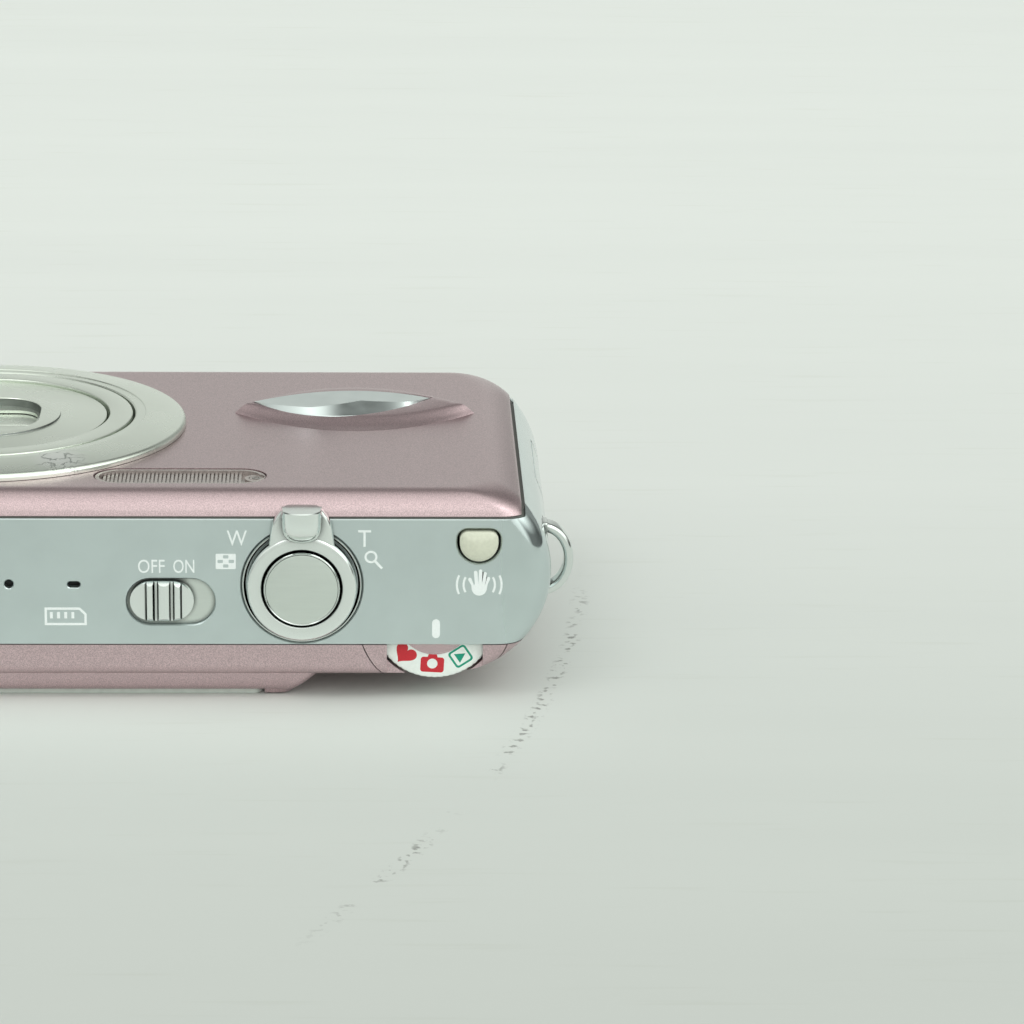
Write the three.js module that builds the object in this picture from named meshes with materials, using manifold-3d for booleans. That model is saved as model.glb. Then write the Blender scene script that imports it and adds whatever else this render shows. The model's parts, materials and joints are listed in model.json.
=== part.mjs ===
// Slim compact digital camera lying on its back: +Z out of the lens, -Y the top plate,
// +X the shutter side. The display window rests on z = 0. All sizes are in millimetres.
import * as THREE from 'three';
import { mergeVertices } from 'three/addons/utils/BufferGeometryUtils.js';
import Module from 'manifold-3d';

const wasm = await Module();
wasm.setup();

// ---- Driving dimensions -------------------------------------------------------------------

const HALF_HEIGHT = 25.55;
const REAR_Z = 2.8;
const FRONT_Z = 22.8;
const WALL = 1;
const SEAM = 0.15;
const FIT = 0.15;

// The casing's ends are one big arc, run on to the front face by a tighter fillet.
const END_ARC = { x: 36.05, z: 13.6, r: 11 };
const END_FILLET_R = 5.2;
const END_FILLET_FROM_Z = 21.2;
const FRONT_BEVEL = { y: 2.9, z: 2.8 };
const REAR_FILLET = 1.3;
const TOP_CORNER_R = 2.2;
const BASE_CORNER = { x: 4.2, y: 9 };

// Heights where the silver band meets the two pink shells.
const BAND_LOW_Z = 6.3;
const BAND_HIGH_Z = 20.2;
const BAND_CHEEK_X = 44.2;
const BASE_OPENING_X = 37.6;
const BASE_PLATE_END_X = 8.1;

const LENS = { x: -14.5, y: 0.94 };
const LENS_HOLE_R = 17.7;
const RING_R = 22.4;
const RING_TOP_Z = 24.2;
const BARRIER = { recessX: 6.5, recessY: 6.3, ledgeZ: 23.15, windowX: 6.1, windowY: 4.4 };

const SHUTTER = { x: 20.83, z: 12.9 };
const LEVER_RECESS = { r: 6.35, depth: 0.6 };
const POWER_RECESS = { x0: 2.48, x1: 11.75, z0: 8.5, z1: 13.57, depth: 0.5 };
const STABILISER = { x: 39.35, halfWidth: 2.15, flatZ: 18.91, waistZ: 17.55, roundDepth: 2.15, cornerR: 1 };
const DIAL = { x: 34.8, z: 8.9, r: 6.5, faceDepth: 0.75, thick: 4.5 };
const GUARD = { r: 8, backY: -17.6, slotHalfX: 5.05, lip: 0.6 };
const MIC_HOLE = { x: -9.78, z: 12.94, r: 0.5 };
const SPEAKER_HOLE = { x: -3.01, z: 12.89, length: 1.4, width: 0.75 };

const FLASH = { x0: -1.2, x1: 17.1, y0: -21.6, y1: -15.9, recess: 0.2 };
const LAMP = { x: 16, y: -18.75, r: 0.8 };

const PLATEAU = { x0: -38, x1: 22.7, halfY: 24.2, faceZ: 0.15, chamferX: 3, chamferY: 1 };
const WINDOW = { x0: -34.9, x1: 16.7, halfY: 22.9, thick: 0.65 };
const DISPLAY = { x0: -33.5, x1: 15.3, halfY: 19.9, z0: 1.3, z1: 3.6 };

const KEYS = { x: 31.5, y: 2.5, centreR: 3.1, ringInner: 3.7, ringOuter: 8.2, low: 2.3, high: 3.6 };
const LOWER_KEYS = { x: [26.8, 36.2], y: 15.5, r: 2.3 };

const BATTERY = { x0: 9.4, x1: 36.8, y0: -16.4, y1: 23.2, z0: 12.2, z1: 18.2, cornerR: 1.5 };
const CARD = { x0: 10.7, x1: 34.7, y0: -8.2, y1: 23.8, z0: 8.25, z1: 10.35, clip: 4 };
const CARD_SLOT = { side: 0.7, behind: 1.5, mouthY: 19.5, over: 0.6, wall: 0.35 };
const BATTERY_DOOR = { x0: 8.4, x1: 37.3, z0: 6.65, z1: 19.65 };
const DOOR_PIN = { y: 24.75, z: 19.35, r: 0.32 };
const DOOR_LOCK = { x0: 12, x1: 18, z0: 8.3, z1: 10.7, travel: 2 };
const TERMINAL_DOOR = { y0: -3.8, y1: 10.8, z0: 8.5, z1: 18.1 };
const EYELET = { y: -17, z: 13.4, halfZ: 3.5, reachX: 49.1, thick: 1, halfY: 1.2, rootX: 46.3 };
const EYELET_BAR = { x0: 45.1, x1: 46.7, halfZ: 4.1 };
const TRIPOD = { x: -8, z: 13.2, boreR: 3.175, outerR: 4.5, innerY: 19.6, floor: 0.7 };
const BASE_SCREWS_X = [-21, 4];
const BASE_SCREW_Z = 9.6;

// ---- Looks --------------------------------------------------------------------------------

const look = (color, roughness, metalness) =>
  new THREE.MeshStandardMaterial({ color, roughness, metalness });

const PINK = look(0xb89a9c, 0.35, 0.7);
const SATIN_SILVER = look(0xa8b7b2, 0.4, 0.8);
const CHROME = look(0xd8dcda, 0.1, 1);
const BARREL_SILVER = look(0xbecbbe, 0.3, 0.8);
const BLACK_PLASTIC = look(0x1c1c1e, 0.5, 0);
const DARK_WINDOW = look(0x202225, 0.1, 0);
const CLEAR_PLASTIC = look(0xd9ddd8, 0.15, 0);
const CREAM = look(0xc9d3c2, 0.3, 0);
const DIAL_WHITE = look(0xe1ebe4, 0.45, 0);
const GLASS = look(0x8fa3b0, 0.05, 0);
const CIRCUIT_GREEN = look(0x1f5a38, 0.6, 0);
const STEEL = look(0x9b9fa1, 0.35, 0.9);
const CELL_GREY = look(0x54585c, 0.5, 0.1);

// ---- Solids -------------------------------------------------------------------------------

function toSolid(geometry) {
  const bare = geometry.clone();
  bare.deleteAttribute('normal');
  bare.deleteAttribute('uv');
  const merged = mergeVertices(bare, 1e-4);
  const triVerts = new Uint32Array(merged.index.array);
  const vertProperties = new Float32Array(merged.attributes.position.array);
  return new wasm.Manifold(new wasm.Mesh({ numProp: 3, vertProperties, triVerts }));
}

function toGeometry(solid) {
  const mesh = solid.getMesh();
  const geometry = new THREE.BufferGeometry();
  geometry.setAttribute('position', new THREE.BufferAttribute(mesh.vertProperties, 3));
  geometry.setIndex(new THREE.BufferAttribute(mesh.triVerts, 1));
  geometry.computeVertexNormals();
  return geometry;
}

const join = (first, ...rest) => rest.reduce((whole, next) => whole.add(next), first);
const cut = (first, ...rest) => rest.reduce((whole, next) => whole.subtract(next), first);

function block(x0, x1, y0, y1, z0, z1) {
  const geometry = new THREE.BoxGeometry(x1 - x0, y1 - y0, z1 - z0);
  geometry.translate((x0 + x1) / 2, (y0 + y1) / 2, (z0 + z1) / 2);
  return toSolid(geometry);
}

// A flat outline raised from height z0 to z1.
function prism(shape, z0, z1, segments = 6) {
  const options = { depth: z1 - z0, bevelEnabled: false, curveSegments: segments };
  const geometry = new THREE.ExtrudeGeometry(shape, options);
  geometry.translate(0, 0, z0);
  return toSolid(geometry);
}

// A [radius, height] profile turned about Z.
function turned(profile, segments = 32) {
  const points = profile.map(([r, z]) => new THREE.Vector2(r, z));
  const geometry = new THREE.LatheGeometry(points, segments);
  geometry.rotateX(Math.PI / 2);
  return toSolid(geometry);
}

const tubeProfile = (inner, outer, z0, z1) =>
  [[inner, z0], [outer, z0], [outer, z1], [inner, z1], [inner, z0]];

function rod(radius, z0, z1, segments = 24) {
  const geometry = new THREE.CylinderGeometry(radius, radius, z1 - z0, segments);
  geometry.rotateX(Math.PI / 2);
  geometry.translate(0, 0, (z0 + z1) / 2);
  return toSolid(geometry);
}

// Places for solids drawn flat: on the top plate (plan x, z, height outwards), on the base
// plate (the same plan, height outwards along +Y) or simply moved.
const moved = (x, y, z) => new THREE.Matrix4().makeTranslation(x, y, z);
const ON_TOP = moved(0, -HALF_HEIGHT, 0).multiply(new THREE.Matrix4().makeRotationX(Math.PI / 2));
const ON_BASE = moved(0, HALF_HEIGHT, 0)
  .multiply(new THREE.Matrix4().makeRotationX(Math.PI / 2))
  .multiply(new THREE.Matrix4().makeScale(1, 1, -1));

function at(matrix, solid) {
  const geometry = toGeometry(solid);
  geometry.applyMatrix4(matrix);
  if (matrix.determinant() < 0) {
    const index = geometry.index.array;
    for (let i = 0; i < index.length; i += 3) {
      [index[i], index[i + 1]] = [index[i + 1], index[i]];
    }
  }
  return toSolid(geometry);
}

function stadium(x0, x1, y0, y1) {
  const r = (y1 - y0) / 2;
  const shape = new THREE.Shape();
  shape.absarc(x1 - r, y0 + r, r, -Math.PI / 2, Math.PI / 2, false);
  shape.absarc(x0 + r, y0 + r, r, Math.PI / 2, Math.PI * 1.5, false);
  shape.closePath();
  return shape;
}

function roundedRect(x0, x1, y0, y1, r) {
  const shape = new THREE.Shape();
  shape.absarc(x1 - r, y0 + r, r, -Math.PI / 2, 0, false);
  shape.absarc(x1 - r, y1 - r, r, 0, Math.PI / 2, false);
  shape.absarc(x0 + r, y1 - r, r, Math.PI / 2, Math.PI, false);
  shape.absarc(x0 + r, y0 + r, r, Math.PI, Math.PI * 1.5, false);
  shape.closePath();
  return shape;
}

// Outlines with the same number of points, stacked at rising heights and skinned.
function stacked(rings) {
  const count = rings[0].length;
  const positions = rings.flat().flatMap((p) => [p.x, p.y, p.z]);
  const index = [];
  for (let level = 0; level + 1 < rings.length; level += 1) {
    for (let i = 0; i < count; i += 1) {
      const next = (i + 1) % count;
      const [a, b] = [level * count + i, level * count + next];
      const [c, d] = [b + count, a + count];
      index.push(a, b, c, a, c, d);
    }
  }
  const last = (rings.length - 1) * count;
  for (let i = 1; i + 1 < count; i += 1) {
    index.push(0, i + 1, i);
    index.push(last, last + i, last + i + 1);
  }
  const geometry = new THREE.BufferGeometry();
  geometry.setAttribute('position', new THREE.Float32BufferAttribute(positions, 3));
  geometry.setIndex(index);
  return toSolid(geometry);
}

// ---- Casing shape -------------------------------------------------------------------------

// Half width at height z: the end arc, then the fillet that is tangent to it and to the front.
function halfWidth(z) {
  if (z <= END_FILLET_FROM_Z) {
    return END_ARC.x + Math.sqrt(END_ARC.r ** 2 - (z - END_ARC.z) ** 2);
  }
  const centreZ = FRONT_Z - END_FILLET_R;
  const centreX = END_ARC.x + Math.sqrt((END_ARC.r - END_FILLET_R) ** 2 - (centreZ - END_ARC.z) ** 2);
  return centreX + Math.sqrt(Math.max(0, END_FILLET_R ** 2 - (z - centreZ) ** 2));
}

// Half height at height z: flat sides with a wide bevel to the front and a fillet to the rear.
function halfHeight(z) {
  const front = Math.max(0, (z - (FRONT_Z - FRONT_BEVEL.z)) / FRONT_BEVEL.z);
  const rear = Math.max(0, (REAR_Z + REAR_FILLET - z) / REAR_FILLET);
  const frontDrop = FRONT_BEVEL.y * (1 - Math.sqrt(1 - Math.min(1, front) ** 2));
  const rearDrop = REAR_FILLET * (1 - Math.sqrt(1 - Math.min(1, rear) ** 2));
  return HALF_HEIGHT - frontDrop - rearDrop;
}

function casingRing(z, inset) {
  const depth = FRONT_Z - REAR_Z;
  const skinZ = REAR_Z + ((z - REAR_Z - inset) * depth) / (depth - 2 * inset);
  const hx = halfWidth(skinZ) - inset;
  const hy = halfHeight(skinZ) - inset;
  const topR = TOP_CORNER_R + 0.4 * (HALF_HEIGHT - inset - hy) - inset;
  const baseX = BASE_CORNER.x - inset;
  const baseY = BASE_CORNER.y - inset;
  const ring = [];
  const corner = (cx, cy, rx, ry, from, steps) => {
    for (let i = 0; i <= steps; i += 1) {
      const a = from + (Math.PI / 2) * (i / steps);
      ring.push(new THREE.Vector3(cx + rx * Math.cos(a), cy + ry * Math.sin(a), z));
    }
  };
  corner(hx - topR, -hy + topR, topR, topR, -Math.PI / 2, 3);
  corner(hx - baseX, hy - baseY, baseX, baseY, 0, 5);
  corner(-hx + baseX, hy - baseY, baseX, baseY, Math.PI / 2, 5);
  corner(-hx + topR, -hy + topR, topR, topR, Math.PI, 3);
  return ring;
}

function casing(inset) {
  const skinLevels = [2.8, 2.95, 3.3, 4.1, 6.3, 8.5, 11, 13.6, 16, 18.3, 20, 21.2, 22, 22.55, FRONT_Z];
  const depth = FRONT_Z - REAR_Z;
  const scale = (depth - 2 * inset) / depth;
  return stacked(skinLevels.map((z) => casingRing(REAR_Z + inset + (z - REAR_Z) * scale, inset)));
}

const FAR = 80;
const shell = cut(casing(0), casing(WALL));
const slab = (z0, z1) => block(-FAR, FAR, -FAR, FAR, z0, z1);

// ---- Scene graph --------------------------------------------------------------------------

const camera = new THREE.Group();

function piece(name, material, solid, parent = camera) {
  const mesh = new THREE.Mesh(toGeometry(solid), material);
  mesh.name = name;
  parent.add(mesh);
  return mesh;
}

// A group whose local x, y are the plan on the top plate and local z its outward height.
function topGroup(x, z) {
  const group = new THREE.Group();
  group.position.set(x, -HALF_HEIGHT, z);
  group.rotation.x = Math.PI / 2;
  camera.add(group);
  return group;
}

function plainGroup(x, y, z = 0) {
  const group = new THREE.Group();
  group.position.set(x, y, z);
  camera.add(group);
  return group;
}

function stabiliserShape(grow) {
  const shape = new THREE.Shape();
  const { x, halfWidth: half, flatZ, waistZ, roundDepth, cornerR: r } = STABILISER;
  shape.absarc(x + half - r, flatZ - r, r + grow, 0, Math.PI / 2, false);
  shape.absarc(x - half + r, flatZ - r, r + grow, Math.PI / 2, Math.PI, false);
  shape.absellipse(x, waistZ, half + grow, roundDepth + grow, Math.PI, Math.PI * 2, false, 0);
  shape.closePath();
  return shape;
}

// ---- Casing pieces ------------------------------------------------------------------------

function frontShell() {
  const face = block(-BAND_CHEEK_X + SEAM, BAND_CHEEK_X - SEAM, -FAR, FAR, BAND_HIGH_Z + SEAM, FAR);
  const lensHole = at(moved(LENS.x, LENS.y, 0), rod(LENS_HOLE_R, 10, FAR, 48));
  const flashHole = prism(stadium(FLASH.x0, FLASH.x1, FLASH.y0, FLASH.y1), 20, FAR);
  piece('front_shell', PINK, cut(shell.intersect(face), lensHole, flashHole));
}

function bandSolid() {
  const middle = slab(BAND_LOW_Z + SEAM, BAND_HIGH_Z - SEAM);
  const cheeks = [-1, 1].map((side) => {
    const [near, far] = [BAND_CHEEK_X * side, FAR * side].sort((a, b) => a - b);
    return block(near, far, -FAR, FAR, BAND_LOW_Z + SEAM, FAR);
  });
  const base = block(-BASE_OPENING_X, BASE_OPENING_X, HALF_HEIGHT - 3, FAR, 0, FAR);
  return cut(shell.intersect(join(middle, ...cheeks)), base);
}

function topPlateOpenings() {
  const { x0, x1, z0, z1, depth } = POWER_RECESS;
  const { x, z, r } = MIC_HOLE;
  const hole = SPEAKER_HOLE;
  const halfLength = hole.length / 2;
  const halfWide = hole.width / 2;
  const plan = [
    at(moved(SHUTTER.x, SHUTTER.z, 0), rod(LEVER_RECESS.r, -LEVER_RECESS.depth, 2, 40)),
    at(moved(SHUTTER.x, SHUTTER.z, 0), rod(3.2, -3, 2)),
    prism(stadium(x0, x1, z0, z1), -depth, 2),
    block(4.9, 9.2, 10.1, 12, -3, 2),
    prism(stabiliserShape(FIT), -3, 2),
    at(moved(x, z, 0), rod(r, -3, 2, 12)),
    prism(
      stadium(hole.x - halfLength, hole.x + halfLength, hole.z - halfWide, hole.z + halfWide), -3, 2, 4,
    ),
    dialRoom(FIT - DIAL.faceDepth),
  ];
  return plan.map((solid) => at(ON_TOP, solid));
}

function topSideBand() {
  const [wide, tall] = [EYELET.halfY + FIT, EYELET.halfZ + 0.6 + FIT];
  const eyeletSlot = block(40, FAR, EYELET.y - wide, EYELET.y + wide, EYELET.z - tall, EYELET.z + tall);
  const door = TERMINAL_DOOR;
  const doorHole = block(40, FAR, door.y0 - 0.3, door.y1 + 0.3, door.z0 - 0.3, door.z1 + 0.3);
  piece('top_side_band', SATIN_SILVER, cut(bandSolid(), eyeletSlot, doorHole, ...topPlateOpenings()));
}

function plateauSolid(grow, lowZ, highZ) {
  const ring = (z, chamferX, chamferY) => {
    const { x0, x1, halfY } = PLATEAU;
    return [
      new THREE.Vector3(x0 + chamferX - grow, -halfY + chamferY - grow, z),
      new THREE.Vector3(x1 - chamferX + grow, -halfY + chamferY - grow, z),
      new THREE.Vector3(x1 - chamferX + grow, halfY - chamferY + grow, z),
      new THREE.Vector3(x0 + chamferX - grow, halfY - chamferY + grow, z),
    ];
  };
  return stacked([ring(lowZ, PLATEAU.chamferX, PLATEAU.chamferY), ring(highZ, 0, 0)]);
}

// The round guard about the mode dial, as deep as its back wall.
function guardRoom(grow) {
  const depth = HALF_HEIGHT + GUARD.backY + grow;
  const disc = at(moved(DIAL.x, DIAL.z, 0), rod(GUARD.r + grow, -depth, 5, 48));
  return at(ON_TOP, disc).intersect(slab(0, BAND_LOW_Z - SEAM));
}

// The room that the mode dial turns in, drawn on the top plate.
function dialRoom(outerHeight) {
  const depth = DIAL.faceDepth + DIAL.thick + 0.3;
  return at(moved(DIAL.x, DIAL.z, 0), rod(DIAL.r + 0.3, -depth, outerHeight, 40));
}

function rearShell() {
  const dish = shell.intersect(slab(0, BAND_LOW_Z - SEAM));
  const boss = plateauSolid(0, PLATEAU.faceZ, REAR_Z + 0.6);
  const room = 0.6;
  const roomY = DISPLAY.halfY + room;
  const pocket = block(DISPLAY.x0 - room, DISPLAY.x1 + room, -roomY, roomY, 1.2, 6);
  const border = 1.2;
  const aperture = block(
    DISPLAY.x0 + border, DISPLAY.x1 - border, -DISPLAY.halfY + border, DISPLAY.halfY - border, 0, 2,
  );
  const smallKeys = LOWER_KEYS.x.map((x) =>
    at(moved(x, LOWER_KEYS.y, 0), rod(LOWER_KEYS.r + FIT, 0, 10)));
  const keyWell = at(moved(KEYS.x, KEYS.y, 0), rod(KEYS.ringOuter + FIT, 0, 10, 40));
  const seat = block(WINDOW.x0 - FIT, WINDOW.x1 + FIT, -FAR, FAR, 0, WINDOW.thick + 0.05);
  const cuts = [pocket, aperture, seat, guardRoom(FIT), keyWell, ...smallKeys];
  piece('rear_shell', PINK, cut(join(dish, boss), ...cuts));
}

function dialGuard() {
  const half = GUARD.slotHalfX;
  const slot = block(DIAL.x - half, DIAL.x + half, -FAR, 1 - HALF_HEIGHT, 0, BAND_LOW_Z);
  piece('dial_guard', PINK, cut(shell.intersect(guardRoom(0)), slot, at(ON_TOP, dialRoom(-GUARD.lip))));
}

function bottomPlate() {
  const region = block(-BASE_OPENING_X + FIT * 2, BASE_PLATE_END_X, HALF_HEIGHT - 2, FAR,
    BAND_LOW_Z + SEAM, BAND_HIGH_Z - SEAM);
  const socketHole = at(moved(TRIPOD.x, TRIPOD.z, 0), rod(TRIPOD.outerR + FIT, -3, 2, 32));
  const screwHoles = BASE_SCREWS_X.map((x) => at(moved(x, BASE_SCREW_Z, 0), rod(1.6, -3, 2, 16)));
  const holes = [socketHole, ...screwHoles].map((solid) => at(ON_BASE, solid));
  piece('bottom_plate', SATIN_SILVER, cut(shell.intersect(region), ...holes));
}

function baseScrews() {
  BASE_SCREWS_X.forEach((x, i) => {
    const profile = [[0, -4.5], [0.7, -4.5], [0.7, -1.1], [1.4, -0.7], [1.4, -0.1], [0, -0.1]];
    const slot = block(-1, 1, -0.18, 0.18, -0.5, 0);
    const screw = cut(turned(profile, 16), slot);
    piece(`base_screw_${i + 1}`, STEEL, at(ON_BASE, at(moved(x, BASE_SCREW_Z, 0), screw)));
  });
}

function tripodSocket() {
  const { boreR, outerR, innerY, floor } = TRIPOD;
  const depth = HALF_HEIGHT - innerY;
  const profile = [
    [0, -depth], [outerR, -depth], [outerR, -0.05], [boreR, -0.05], [boreR, floor - depth],
    [0, floor - depth],
  ];
  const socket = at(moved(TRIPOD.x, TRIPOD.z, 0), turned(profile, 32));
  piece('tripod_socket', STEEL, at(ON_BASE, socket));
}

// A flat strip bent into a D, standing on a bar behind the side wall.
function strapEyelet() {
  const { y, z, halfZ, halfY, thick, rootX, reachX } = EYELET;
  const root = EYELET_BAR;
  const bar = block(root.x0, root.x1, y - halfY, y + halfY, z - root.halfZ, z + root.halfZ);
  const halfRing = (grow) => {
    const shape = new THREE.Shape();
    shape.absellipse(0, 0, reachX - rootX + grow, halfZ + grow, -Math.PI / 2, Math.PI / 2, false, 0);
    shape.closePath();
    return prism(shape, -halfY, halfY, 16);
  };
  const across = new THREE.Matrix4().makeRotationX(Math.PI / 2);
  const loop = cut(halfRing(thick / 2), halfRing(-thick / 2).scale([1, 1, 2]));
  piece('strap_eyelet', CHROME, join(bar, at(moved(rootX, y, z).multiply(across), loop)));
}

// ---- Grip, flash and lamp on the front ----------------------------------------------------

// A pointed oval between two tips, its near and far sides bulging by their own amounts.
function almond(x0, x1, tipY, near, far, z, shrink) {
  const steps = 10;
  const ring = [];
  const mid = (x0 + x1) / 2;
  const half = ((x1 - x0) / 2) * shrink;
  for (let side = 0; side < 2; side += 1) {
    for (let i = 0; i < steps; i += 1) {
      const t = i / steps;
      const along = side === 0 ? -1 + 2 * t : 1 - 2 * t;
      const bulge = (side === 0 ? -near : far) * (1 - along ** 2) * shrink;
      ring.push(new THREE.Vector3(mid + half * along, tipY + bulge, z));
    }
  }
  return ring;
}

// Both swell from a base outline; each level gives the near and far bulge, height and shrink.
const INSERT = {
  x0: 15.1,
  x1: 34.9,
  tipY: 7,
  levels: [[5.2, 2.6, 23.4, 1], [5.2, 2.6, 23.7, 1], [1.5, 2.6, 24.4, 0.94]],
};
const RIDGE = {
  x0: 13.1,
  x1: 39.5,
  tipY: 5.9,
  levels: [
    [7.4, 7.2, FRONT_Z + 0.05, 1], [6, 6.6, 23.35, 0.96], [4.9, 6, 23.75, 0.9], [4.4, 5.6, 24.1, 0.84],
  ],
};

const swollen = ({ x0, x1, tipY, levels }) =>
  stacked(levels.map(([near, far, z, shrink]) => almond(x0, x1, tipY, near, far, z, shrink)));

function grip() {
  const [near, far, bottom] = INSERT.levels[0];
  const room = [bottom - FIT, FAR].map((z) =>
    almond(INSERT.x0 - FIT, INSERT.x1 + FIT, INSERT.tipY, near + FIT, far + FIT, z, 1));
  piece('grip_ridge', PINK, cut(swollen(RIDGE), stacked(room)));
  piece('grip_insert', CHROME, swollen(INSERT));
}

function flashAndLamp() {
  const { x0, x1, y0, y1, recess } = FLASH;
  const window = stadium(x0 + FIT, x1 - FIT, y0 + FIT, y1 - FIT);
  const lampHole = at(moved(LAMP.x, LAMP.y, 0), rod(LAMP.r + FIT, 20, FAR, 16));
  piece('flash_window', CLEAR_PLASTIC, cut(prism(window, 21.6, FRONT_Z - recess), lampHole));
  const lamp = plainGroup(LAMP.x, LAMP.y);
  piece('self_timer_lamp', CREAM, rod(LAMP.r, 21.2, FRONT_Z - recess, 16), lamp);
  const trough = new THREE.Shape();
  const points = [
    [-2.4, 0], [-1.6, -2.1], [1.6, -2.1], [2.4, 0], [2, 0], [1.3, -1.8], [-1.3, -1.8], [-2, 0],
  ];
  points.forEach(([x, y], i) => (i ? trough.lineTo(x, y) : trough.moveTo(x, y)));
  trough.closePath();
  const run = prism(trough, 0, 13);
  const turn = new THREE.Matrix4().makeBasis(
    new THREE.Vector3(0, 1, 0), new THREE.Vector3(0, 0, 1), new THREE.Vector3(1, 0, 0),
  );
  const place = moved(0.5, (y0 + y1) / 2, 21.2).multiply(turn);
  piece('flash_reflector', STEEL, at(place, run));
  const tube = at(moved(0.8, (y0 + y1) / 2, 20.4).multiply(turn), rod(0.7, 0, 12.4, 12));
  piece('flash_tube', GLASS, tube);
}

// ---- Lens ---------------------------------------------------------------------------------

function lens() {
  const group = plainGroup(LENS.x, LENS.y);
  const ring = [
    [16.9, 20.5], [17.5, 20.5], [17.5, FRONT_Z + 0.05], [RING_R, FRONT_Z + 0.05],
    [RING_R, FRONT_Z + 0.2], [18.2, RING_TOP_Z], [16.9, RING_TOP_Z], [16.9, 20.5],
  ];
  piece('lens_trim_ring', BARREL_SILVER, turned(ring, 56), group);
  const housing = [
    [5.3, 7], [17.5, 7], [17.5, 20.3], [16.9, 20.3], [16.9, 8], [5.3, 8], [5.3, 7],
  ];
  piece('lens_base_housing', BLACK_PLASTIC, turned(housing, 40), group);
  const stageOne = [[14.1, 11.6], [16.6, 11.6], [16.6, 23.9], [16.4, 24.1], [14.1, 24.1], [14.1, 11.6]];
  piece('lens_barrel_stage_1', BARREL_SILVER, turned(stageOne, 48), group);
  const stageTwo = [
    [12.85, 12], [13.75, 12], [13.75, 23.3], [12.85, 23.3], [12.85, 22.25], [6.6, 22.25],
    [6.6, 21.6], [7.6, 21.6], [7.6, 16.8], [8.4, 16.8], [8.4, 21.4], [12.85, 21.4], [12.85, 12],
  ];
  piece('lens_barrel_stage_2', BARREL_SILVER, turned(stageTwo, 48), group);
  const cap = [
    [0, 22.85], [12.65, 22.85], [12.65, 23.35], [13.75, 23.35], [13.75, 23.85], [8.75, 23.85],
    [8.7, 24.1], [0, 24.1],
  ];
  const { recessX, recessY, ledgeZ, windowX, windowY } = BARRIER;
  const recess = prism(roundedRect(-recessX, recessX, -recessY, recessY, 3.4), ledgeZ, FAR, 4);
  const window = prism(roundedRect(-windowX, windowX, -windowY, windowY, 2.4), 22, FAR, 4);
  piece('lens_front_cap', BARREL_SILVER, cut(turned(cap, 48), recess, window), group);
  for (const [name, side] of [['barrier_blade_upper', -1], ['barrier_blade_lower', 1]]) {
    const [y0, y1] = [0.05 * side, 5.2 * side].sort((a, b) => a - b);
    piece(name, BARREL_SILVER, prism(roundedRect(-7.5, 7.5, y0, y1, 0.6), 22.35, 22.75, 3), group);
  }
  const front = [[0, 16.9], [4, 17.1], [7.4, 17.8], [7.4, 18.6], [4, 20], [0, 20.6]];
  piece('lens_front_element', GLASS, turned(front, 24), group);
  const rear = [[0, 6.9], [3.4, 7.05], [5.1, 7.3], [5.1, 7.9], [3.4, 8.6], [0, 8.9]];
  piece('lens_rear_element', GLASS, turned(rear, 24), group);
  piece('image_sensor_board', CIRCUIT_GREEN, join(
    block(-10, 10, -9, 9, 5.1, 6), block(-4.5, 4.5, -3.6, 3.6, 5.9, 6.6),
  ), group);
}

// The zoom drive stands beside the housing, on the diagonal towards the base.
function zoomDrive() {
  const diagonal = Math.SQRT1_2;
  const group = plainGroup(LENS.x, LENS.y);
  const along = (distance) => moved(-distance * diagonal, distance * diagonal, 0);
  piece('zoom_motor', STEEL, at(along(25.3), rod(3.5, 8, 17.5, 24)), group);
  const teeth = 12;
  const outline = new THREE.Shape();
  for (let i = 0; i < teeth * 2; i += 1) {
    const a = (Math.PI * i) / teeth;
    const r = i % 2 ? 1.4 : 1.85;
    const corner = [r * Math.cos(a), r * Math.sin(a)];
    if (i) outline.lineTo(...corner);
    else outline.moveTo(...corner);
  }
  outline.closePath();
  const gear = piece('zoom_gear', BLACK_PLASTIC, prism(outline, 8.3, 12), group);
  gear.position.set(-19.5 * diagonal, 19.5 * diagonal, 0);
}

// ---- Controls on the top plate ------------------------------------------------------------

function shutterAndZoom() {
  const group = topGroup(SHUTTER.x, SHUTTER.z);
  const button = [[0, -3.55], [1.6, -3.55], [1.6, 1.05], [4, 1.05], [4, 1.6], [3.7, 1.75], [0, 1.75]];
  piece('shutter_button', SATIN_SILVER, turned(button, 32), group);
  const ring = [
    [2, -3], [2.9, -3], [2.9, -0.45], [5.75, -0.45], [5.75, 1.1], [5.45, 1.45], [4.4, 1.45],
    [4.15, 1.2], [4.15, 0.05], [2, 0.05], [2, -3],
  ];
  const armSide = [[3.4, 4.5], [3.2, 6.4], [2.9, 7.4], [2.1, 8.3], [2.1, 8.7]];
  const arm = new THREE.Shape();
  armSide.forEach(([x, y], i) => (i ? arm.lineTo(x, y) : arm.moveTo(x, y)));
  armSide.reverse().forEach(([x, y]) => arm.lineTo(-x, y));
  arm.closePath();
  const fingerFoot = prism(roundedRect(-1.9, 1.9, 5.5, 8.8, 0.7), 0.35, 2.4, 3);
  const fingerTip = prism(roundedRect(-2.03, 2.03, 6.4, 8.8, 0.7), 2.2, 3.65, 3);
  const finger = join(fingerFoot, fingerTip);
  piece('zoom_lever', CHROME, join(turned(ring, 40), prism(arm, 0.35, 1.3), finger), group);
  piece('zoom_return_spring', STEEL, turned(tubeProfile(3.3, 4.1, -2.8, -1.4), 24), group);
  piece('shutter_return_spring', STEEL, turned(tubeProfile(0.8, 1.3, -4.85, -4.4), 16), group);
  piece('shutter_switch', BLACK_PLASTIC, block(-3, 3, -3, 3, -6, -4.9), group);
}

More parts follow.
